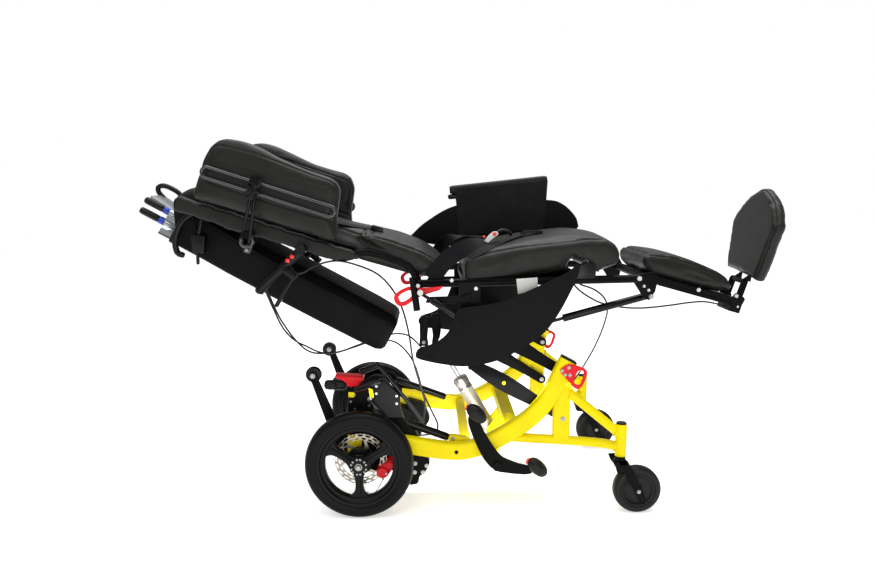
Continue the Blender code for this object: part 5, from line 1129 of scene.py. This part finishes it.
rampSet = {"grips": ((-.0250, -.050), (.0100, -.050)),
           "loop": ((-.118, .024), (-.140, .0330), (-.1480, .0460), (-.1380, .0580), (-.1150, .0630),
                    (-.080, .0600), (-.050, .040), (-.044, .018))}
leaves = []
for v, half in ((-.0437, .100), (.0003, .099)):  # each leaf is a shallow channel
    web = [(-.045, v - .009), (.595, v - .009), (.595, v - .004), (-.045, v - .004)]
    lip = [(-.045, v - .009), (.594, v - .009), (.594, v + .009), (-.045, v + .009)]
    leaves += [panel(web, -half, half, onBag), panel(lip, half - .006, half, onBag),
               panel(lip, -half, -half + .006, onBag)]
leaves.append(panel([(.575, -.050), (.595, -.050), (.595, .001), (.575, .001)], -.096, .096, onBag))
for v, y in rampSet["grips"]:
    leaves.append(hose([onBag(-.058, v, y), onBag(-.006, v, y)], .0098, 24))
plate = [(-.128, .0190), (-.036, .0090), (-.036, .0190), (-.128, .0300)]
plate = panel(roundOutline(plate, 0.003), -.052, .055, onBag)
addPiece("rampLeaves", leaves + [plate], rampAlloy, "folded_ramp", stands=("folded_ramp",), bevel=0.0015)
grips = [hose([onBag(-.140, v, y), onBag(-.072, v, y)], .0112, 24, domed=True) for v, y in rampSet["grips"]]
loop = smoothLine([onBag(a, b, .040) for a, b in rampSet["loop"]], 0.006)
addPiece("rampGrips", grips + [hose(loop, .0080, 14)], softGrip, "folded_ramp")
collars = [hose([onBag(-.074, v, y), onBag(-.056, v, y)], .0116, 24) for v, y in rampSet["grips"]]
addPiece("rampCollars", collars, blueCollar, "folded_ramp", bevel=0.001)
print("leg rest, armrest and ramp built")


# Soft goods

def padForm(outline, half, toWorld, rounding, crown, inset):
    closed = [Vector(p) for p in outline]
    centre = sum(closed, Vector((0, 0))) / len(closed)
    fine = []
    for i in range(len(closed)):
        a, b, c, d = closed[i - 1], closed[i], closed[(i + 1) % len(closed)], closed[(i + 2) % len(closed)]
        steps = max(2, round((c - b).length / 0.012))
        for t in (k / steps for k in range(steps)):
            fine.append(easedPoint(a, b, c, d, t).lerp(b.lerp(c, t), 0.5))
    normals = []
    for i, p in enumerate(fine):  # inward direction at each point of the outline
        along = (fine[(i + 1) % len(fine)] - fine[i - 1]).normalized()
        inward = Vector((-along.y, along.x))
        normals.append(inward if inward.dot(centre - p) > 0 else -inward)
    shoulder = [(-half + rounding * (1 - math.cos(math.pi / 2 * k / 6)),
                 rounding * (1 - math.sin(math.pi / 2 * k / 6))) for k in range(7)]
    middle = [(-half + rounding + (2 * half - 2 * rounding) * k / 8, 0.0) for k in range(1, 8)]
    loops = []
    for y, drop in shoulder + middle + [(-y, drop) for y, drop in reversed(shoulder)]:
        loop = []
        for p, inward in zip(fine, normals):
            moved = p + inward * (drop + inset)
            if p.y > centre.y:
                moved.y += crown * (1 - (y / half) ** 2)
            loop.append(toWorld(moved.x, moved.y, y * (1 - inset / half)))
        loops.append(loop)
    return skin(loops)


def settle(piece):  # applies what the modifiers made
    made = bpy.data.meshes.new_from_object(piece.evaluated_get(bpy.context.evaluated_depsgraph_get()))
    piece.modifiers.clear()
    old = piece.data
    made.materials.clear()
    for finish in old.materials:
        made.materials.append(finish)
    piece.data = made
    bpy.data.meshes.remove(old)


def swell(piece, voxel, cap, pressure=4.0):  # air under the cover, then one subdivision
    remesh = piece.modifiers.new("evenMesh", "REMESH")
    remesh.mode = "VOXEL"
    remesh.voxel_size = voxel
    settle(piece)
    start = np.empty(len(piece.data.vertices) * 3)
    piece.data.vertices.foreach_get("co", start)
    start = start.reshape(-1, 3)
    cloth = piece.modifiers.new("air", "CLOTH")
    cloth.settings.use_pressure = True
    cloth.settings.uniform_pressure_force = pressure
    cloth.settings.effector_weights.gravity = 0.0
    cloth.settings.quality = 4
    for step in range(1, 21):
        bpy.context.scene.frame_set(step)
    settle(piece)
    bpy.context.scene.frame_set(1)
    ended = np.empty(len(piece.data.vertices) * 3)
    piece.data.vertices.foreach_get("co", ended)
    move = ended.reshape(-1, 3) - start
    size = np.linalg.norm(move, axis=1, keepdims=True)
    move *= np.minimum(1.0, cap / np.maximum(size, 1e-9))
    piece.data.vertices.foreach_set("co", (start + move).ravel())
    work = bmesh.new()
    work.from_mesh(piece.data)
    for _ in range(4):
        bmesh.ops.smooth_vert(work, verts=work.verts, factor=0.5, use_axis_x=True, use_axis_y=True,
                              use_axis_z=True)
    work.to_mesh(piece.data)
    work.free()
    divide = piece.modifiers.new("soften", "SUBSURF")
    divide.levels = 1
    divide.render_levels = 1
    settle(piece)
    piece.data.shade_smooth()


def sew(piece, lines, width=0.006, depth=0.0035):  # pulls the cover in along sewn lines
    piece.data.update()
    samples = []
    for line in lines:
        for p in smoothLine(line, 0.003):
            found, place, _, _ = piece.closest_point_on_mesh(p)
            if found:
                samples.append(place)
    tree = KDTree(len(samples))
    for i, p in enumerate(samples):
        tree.insert(p, i)
    tree.balance()
    normals = [v.normal.copy() for v in piece.data.vertices]
    for v, normal in zip(piece.data.vertices, normals):
        gap = tree.find(v.co)[2]
        if gap < width:
            v.co -= normal * depth * math.cos(math.pi / 2 * gap / width) ** 2


def hipWidth(s):  # the back cover is wider beside the hips
    t = max(0.0, min(1.0, (s - .186) / .030))
    return 1.21 - 0.21 * t * t * (3 - 2 * t)


def footTaper(reach):  # the calf pad narrows to round corners at its foot end
    t = max(0.0, (reach - .255) / .075)
    return 1 - 0.26 * t * t


def edgeSeams(out, line):  # one seam near each long edge
    return [[(a, b, y) for a, b in line] for y in (-out, out)]


seatBase, seatRise = 0.6831, 0.02174
padSet = {
    "seat_cushion": {"body": "seat", "half": 0.236, "round": 0.018, "crown": 0.010, "inset": 0.005,
                     "voxel": 0.006, "cap": 0.009,
                     "fill": 0.8, "view": lambda a, b, y: onSide(a, b + seatBase + seatRise * a, y),
                     "outline": [(-.003, -.010), (0, .052), (.016, .066), (.1, .086), (.22, .105),
                                 (.345, .116), (.42, .108), (.454, .088), (.466, .058), (.461, .034),
                                 (.446, .021), (.420, .018), (.394, .021), (.385, .034), (.383, .050),
                                 (.366, .066), (.345, .074), (.328, .069), (.314, .050), (.302, .030),
                                 (.236, .014), (.139, -.004), (.050, -.020), (.020, -.020)],
                     "seams": [[(.012, .062, y) for y in (-.2, -.1, 0, .1, .2)],
                               [(.405, .112, y) for y in (-.2, -.1, 0, .1, .2)],
                               *edgeSeams(.212, ((.016, .066), (.1, .084), (.22, .103), (.345, .113),
                                                 (.405, .110)))]},
    "back_cushion": {"body": "back", "half": 0.178, "round": 0.016, "crown": 0.004, "inset": 0.005,
                     "voxel": 0.006, "cap": 0.009,
                     "fill": 0.8, "view": lambda a, b, y: onBack(a, b, y * hipWidth(a)),
                     "outline": [(-.054, .034), (-.076, .044), (-.078, .058), (-.044, .074), (.020, .092),
                                 (.100, .097), (.180, .092), (.270, .084), (.450, .082), (.620, .078),
                                 (.690, .070), (.730, .054), (.754, .032), (.757, .012), (.738, .0053),
                                 (.400, .0053), (.262, .0053), (.236, .008), (.200, .012), (.100, .016),
                                 (0, .018)],
                     "seams": [[(.172, .096, y) for y in (-.17, -.1, 0, .1, .17)],
                               [(.198, .094, y) for y in (-.17, -.1, 0, .1, .17)],
                               *edgeSeams(.160, [(s, .090) for s in (-.06, .02, .1, .172)]),
                               *edgeSeams(.150, [(s, .082) for s in (.2, .35, .5, .65, .70)]),
                               [(.700, .068, y) for y in (-.15, 0, .15)]]},
    "calf_pad": {"body": "leg", "half": 0.16, "round": 0.020, "crown": 0.005, "inset": 0.004,
                 "voxel": 0.005, "cap": 0.008,
                 "fill": 0.8, "view": lambda a, b, y: onLeg(a, b, y * footTaper(a)),
                 "outline": [(.020, .032), (.010, .054), (.020, .074), (.095, .086), (.175, .085),
                             (.258, .074), (.304, .060), (.332, .049), (.328, .038), (.290, .028),
                             (.217, .019), (.114, .016), (.040, .020)],
                 "seams": [*edgeSeams(.142, ((.03, .076), (.095, .086), (.175, .084), (.258, .074),
                                             (.300, .061))),
                           [(.306, .060, y) for y in (-.14, 0, .14)],
                           [(.030, .077, y) for y in (-.14, 0, .14)]]},
}
for node, part in padSet.items():
    shape = padForm(part["outline"], part["half"], part["view"], part["round"], part["crown"],
                    part["inset"])
    pad = addPiece(node + "_cover", [shape], padCover, part["body"], stands=(node,))
    swell(pad, part["voxel"], part["cap"])
    sew(pad, [[part["view"](*p) for p in line] for line in part["seams"]])
    print("pad made:", node)

lateralSet = {"inner": 0.186, "outer": 0.250, "round": 0.014, "inset": 0.004, "voxel": 0.005, "cap": 0.007,
              "right": [(.262, .040), (.270, .120), (.282, .192), (.298, .212), (.322, .222), (.405, .226),
                        (.478, .234), (.530, .243), (.570, .2465), (.605, .245), (.642, .237), (.664, .223),
                        (.681, .196), (.691, .150), (.694, .060), (.680, .036), (.480, .034)],
              "left": [(.264, .040), (.274, .120), (.288, .198), (.312, .231), (.340, .2405), (.385, .2395),
                       (.455, .240), (.531, .250), (.598, .256), (.640, .252), (.674, .236), (.690, .205),
                       (.696, .140), (.694, .060), (.680, .036), (.480, .034)],
              "seam": [(.262, .048), (.272, .140), (.290, .188), (.330, .2095), (.537, .2140),
                       (.645, .2066), (.6616, .199), (.6806, .168), (.688, .090), (.678, .046)],
              "stitch": [(.639, .167), (.480, .174), (.323, .180), (.321, .157), (.480, .154), (.635, .150),
                         (.639, .167)],
              "flap": [(.268, .102), (.400, .098), (.540, .098), (.684, .102)], "loopLow": .110,
              "loopHigh": .140, "loopEnds": (.300, .656)}
for hand, side in hands:
    middle = side * (lateralSet["inner"] + lateralSet["outer"]) / 2
    half = (lateralSet["outer"] - lateralSet["inner"]) / 2
    shape = padForm(lateralSet[hand], half, lambda a, b, y: onBack(a, b, middle + y), lateralSet["round"],
                    0.0, lateralSet["inset"])
    pad = addPiece(hand + "_lateralCover", [shape], padCover, hand + "_lateral_pad",
                   stands=(hand + "_lateral_pad",))
    swell(pad, lateralSet["voxel"], lateralSet["cap"])
    for face in (side * lateralSet["outer"], side * lateralSet["inner"]):
        sew(pad, [[onBack(a, b, face) for a, b in lateralSet[line]] for line in ("seam", "flap")], 0.0055,
            0.0028)
        sew(pad, [[onBack(a, b, face) for a, b in lateralSet["stitch"]]], 0.0035, 0.0010)
    rodY, ends = side * .262, lateralSet["loopEnds"]
    low, high = lateralSet["loopLow"], lateralSet["loopHigh"]
    level, bow = (low + high) / 2, (high - low) / 2
    loop = [onBack(a, b, rodY) for a, b in bar((ends[0], level), (ends[1], level), bow, bow, 10)]
    dense = [p.lerp(q, k / 3) for p, q in zip(loop, loop[1:] + loop[:1]) for k in range(3)]
    posts = [hose([onBack(s, low, side * .2250), onBack(s, low, rodY)], .005, 14) for s in (.312, .644)]
    rods = [hose(dense, .0048, 14, ring=True)] + posts
    addPiece(hand + "_lateralLoop", rods, blackChrome, hand + "_lateral_pad")
print("lateral pads made")

footSet = {"offset": 0.004, "rise": 0.014, "thick": 0.036, "round": 0.010, "inset": 0.003, "voxel": 0.004,
           "cap": 0.006,
           "roll": 0.10, "tip": 0.085,  # it hangs a little askew in the photograph
           "edge": [(.112, 0), (.126, .008), (.137, .038), (.155, .117), (.166, .159), (.166, .182),
                    (.145, .214), (.118, .243), (.080, .268), (.022, .290)]}
footEdge = [(-y, b) for y, b in footSet["edge"]] + list(reversed(footSet["edge"]))
footSet["outline"] = [(y + footSet["roll"] * (.15 - b), b + footSet["tip"] * y * (1 - b / .29))
                      for y, b in footEdge]
footSet["seam"] = [(y * .92, .15 + (b - .15) * .92) for y, b in footSet["outline"]]
footMiddle = footSet["offset"] + footSet["thick"] / 2


def onFootPad(a, b, y):
    return onFoot(footMiddle + y, footSet["rise"] + b, a)


shape = padForm(footSet["outline"], footSet["thick"] / 2, onFootPad, footSet["round"], 0.0,
                footSet["inset"])
footPad = addPiece("footBoardCover", [shape], padCover, "foot_board", stands=("foot_board",))
swell(footPad, footSet["voxel"], footSet["cap"])
for face in (footSet["offset"], footSet["offset"] + footSet["thick"]):
    sew(footPad, [[onFoot(face, footSet["rise"] + b, a) for a, b in footSet["seam"]]], 0.005, 0.0025)
ear = [(-.004, .002), (.022, .002), (.022, .030), (-.002, .007)]
hinge = [spun([(.008, -.0407), (.008, .0407)], onFoot(0, 0, 0), flat, 24), panel(ear, -.040, -.030, onFoot),
         panel(ear, .030, .040, onFoot)]
addPiece("footHinge", hinge, blackCoat, "foot_board", bevel=0.001)
print("foot pad made")

bagSet = {"wide": 0.130, "body": 0.0575, "long": 0.724, "corner": 0.014, "ridge": 0.034, "roof": 0.104,
          "stations": [(0.0, 0.0), (0.012, 0.001), (0.026, 0.001), (0.028, -0.001), (0.10, 0.0),
                       (0.2, 0.003), (0.35, 0.004), (0.5, 0.004), (0.64, 0.003), (0.70, 0.0),
                       (0.716, -0.006), (0.724, -0.016)],
          "lining": [(.1262, -.0536), (.1262, .030), (.1000, .0536)]}


def ridgeAt(u):  # the ridge seam climbs towards the mouth
    return bagSet["ridge"] + 0.020 * max(0.0, 1 - u / 0.35)


def bothSides(right):
    return right + [(-y, v) for y, v in reversed(right)]


def bagLoop(u, swollen):  # upright sides, a ridge seam, a sloping roof, a sagging floor
    high, wide = bagSet["body"] + swollen, bagSet["wide"] + swollen * 0.5
    corners = roundOutline(bothSides([(wide, -high), (wide, ridgeAt(u)), (bagSet["roof"], high)]),
                           bagSet["corner"], 5)
    loop = []
    for y, v in corners:
        sag = 0.0
        if v < -high + 0.001:  # the floor only
            sag = 0.004 * math.cos(math.pi / 2 * y / wide) * math.sin(math.pi * u / bagSet["long"])
        loop.append(onBag(u, v - sag, y))
    return loop


inside = roundOutline(bothSides(bagSet["lining"]), .011, 5)
lining = [[onBag(u, v, y) for y, v in inside] for u in (0.612, 0.3, 0.0)]
outside = [bagLoop(u, k) for u, k in bagSet["stations"]]
hood = [(.7645, .0150), (.7250, .0300), (.6900, -.0300), (.6574, -.0895), (.6795, -.1125), (.7207, -.0873),
        (.7360, -.0720), (.7560, -.0200)]
flap = panel(roundOutline(hood, 0.014), -.1405, -.1375, onBack)  # ties the mouth up to the back
bag = addPiece("rampBagCover", [skin(lining + outside), flap], bagCloth, "back", stands=("ramp_bag",),
               sharp=70)
for hand, side in hands:
    ridge = [onBag(u, ridgeAt(u), side * (bagSet["wide"] + 0.0005))
             for u in (0.03, 0.1, 0.2, 0.35, 0.5, 0.62, 0.69)]
    piping = hose(smoothLine(ridge, 0.02), .0022, 10, domed=True)
    addPiece("bagPiping_" + hand, [piping], beltWebbing, "back")
print("bag made")

# Belts: webbing lies on the cushions, with a tongue and a buckle

beltSet = {"width": 0.046, "thick": 0.0018,
           "near": [(-.090, -.2165, .686), (-.060, -.2165, .728), (-.030, -.212, .755), (.002, -.202, .774),
                    (.036, -.182, .784), (.072, -.150, .790)],
           "nearAcross": [(.8, 0, -.6), (.7, 0, -.7), (.6, -.1, -.8), (.5, -.4, -.7), (.5, -.7, -.4)],
           "far": [(-.090, .2165, .686), (-.060, .210, .740), (-.020, .160, .786), (.030, .030, .796),
                   (.078, -.100, .801)],
           "farAcross": [(.9, 0, -.4), (.9, .2, -.3), (1, .3, 0), (1, .3, 0)],
           "low": [(.020, -.212, .752), (.075, -.190, .775), (.125, -.140, .793), (.188, -.075, .808)],
           "lowAcross": [(.5, -.6, -.5), (.5, -.8, -.2), (.5, -.8, 0)]}
shapes = [strap([spot(*p) for p in beltSet[way]], beltSet["width"] * share, beltSet["thick"],
                beltSet[way + "Across"])
          for way, share in (("near", 1.1), ("far", 1.0), ("low", 0.6))]
addPiece("lapBelt", shapes, beltWebbing, "seat", sharp=60)
tongue = [(.066, .789), (.080, .787), (.090, .798), (.110, .812), (.107, .821), (.094, .820), (.080, .808)]
addPiece("beltTongue", [panel(roundOutline(tongue, 0.003), -.150, -.138)], whiteNylon, "seat", bevel=0.002)
buttons = [spun([(.0058, 0), (.0058, .002), (.0045, .003)], spot(.098, -.150, .8135), (0, -1, 0), 24),
           spun([(.0040, 0), (.0040, .002), (.0030, .003)], spot(.0665, -.150, .8055), (0, -1, 0), 20)]
addPiece("tongueButtons", buttons, redButton, "seat")
loop = smoothLine([spot(.104, -.144, .816), spot(.122, -.140, .8235), spot(.142, -.136, .8185),
                   spot(.150, -.130, .808)],
                  .005)
addPiece("tongueLoop", [hose(loop, .0055, 12, domed=True)], softGrip, "seat")
buckle = [(.180, .801), (.214, .797), (.254, .799), (.252, .820), (.196, .818)]
addPiece("beltBuckle", [panel(roundOutline(buckle, 0.006), -.082, -.040)], softGrip, "seat", bevel=0.003)
chest = [onBack(.330, .092, -.160), onBack(.262, .094, -.130), onBack(.205, .0985, -.100),
         onBack(.150, .1030, -.080)]
addPiece("chestStrap", [strap(chest, .040, .0018, [(.3, .9, 0)] * 3)], beltWebbing, "back", sharp=60)
buckle = panel(roundOutline([(.148, .101), (.186, .099), (.186, .113), (.150, .115)], 0.004), -.112, -.068,
               onBack)
addPiece("chestBuckle", [buckle], softGrip, "back", bevel=0.003)
print("belts made")

boltKinds = {kind.name: (kind, word) for kind, word in
             ((zincBolt, "bolts"), (whiteNylon, "caps"), (softGrip, "plugs"), (blackCoat, "studs"))}
for (body, finishName), shapes in boltsOn.items():
    finish, word = boltKinds[finishName]
    addPiece(body + "_" + word, shapes, finish, body)
print("bolts set")

# Studio: white air, pale floor, soft lamps above, in front and under the seat, an even glow from above

floorSet = {"size": 16.0}
half = floorSet["size"] / 2
floorMesh = bpy.data.meshes.new("studioFloor")
floorMesh.from_pydata([(-half, -half, 0), (half, -half, 0), (half, half, 0), (-half, half, 0)], [],
                      [(0, 1, 2, 3)])
floorFinish, tree, shader, place = startFinish("backlitAcrylicFloor", "#f4f4f4", 0.7,
                                               Emission_Strength=0.50,
                                               Specular_IOR_Level=0.1)
shader["Emission Color"].default_value = tint("#ffffff")  # glows a little, so the floor runs into the air
drift = addNode(tree, "ShaderNodeTexNoise", {"Scale": 1.5, "Detail": 3.0}, {"Vector": place})
addNode(tree, "ShaderNodeValToRGB", {"stops": ((0.3, "#f3f3f3"), (0.7, "#f7f7f7"))}, {"Fac": drift},
        shader["Base Color"])
floorMesh.materials.append(floorFinish)
floor = bpy.data.objects.new("studioFloor", floorMesh)
bpy.context.scene.collection.objects.link(floor)

world = bpy.data.worlds.new("studioAir")
world.use_nodes = True
airSet = {"seen": 1.0, "cast": 0.46}  # white behind the chair, dimmer where it lights it
sky = world.node_tree.nodes["Background"]
sky.inputs["Color"].default_value = tint("#ffffff")
dim = addNode(world.node_tree, "ShaderNodeMapRange", {"To Min": airSet["cast"], "To Max": airSet["seen"]},
              to=sky.inputs["Strength"])
world.node_tree.links.new(addNode(world.node_tree, "ShaderNodeLightPath").outputs["Is Camera Ray"],
                          dim.inputs["Value"])
bpy.context.scene.world = world
bpy.context.scene.view_settings.view_transform = "Standard"
lampSet = {
    "keyLamp": {"kind": "AREA", "place": (-1.2, -2.4, 3.4), "aim": (0, 0, 0.5), "size": 2.2, "power": 18},
    "lowLamp": {"kind": "AREA", "place": (0.3, -3.4, 0.55), "aim": (0, 0.2, 0.3), "size": 1.0, "power": 14},
    "topLamp": {"kind": "AREA", "place": (0.2, 0.8, 3.4), "aim": (0, 0, 0.4), "size": 3.0, "power": 95},
    "underLamp": {"kind": "AREA", "place": (0.05, -0.17, 0.10), "aim": (0.05, 0.25, 0.24), "size": 0.6,
                  "power": 4.0},
    "ceilingGlow": {"kind": "SUN", "place": (-0.6, -0.8, 4.0), "aim": (0, 0, 0), "size": math.radians(75),
                    "power": 1.15},
}
for name, lamp in lampSet.items():
    light = bpy.data.lights.new(name, lamp["kind"])
    if lamp["kind"] == "SUN":
        light.angle = lamp["size"]
    else:
        light.size = lamp["size"]
    light.energy = lamp["power"]
    item = bpy.data.objects.new(name, light)
    item.location = lamp["place"]
    item.visible_camera = False
    item.rotation_euler = (Vector(lamp["aim"]) - Vector(lamp["place"])).to_track_quat("-Z", "Y").to_euler()
    bpy.context.scene.collection.objects.link(item)

bpy.context.view_layer.update()
print("scene ready")
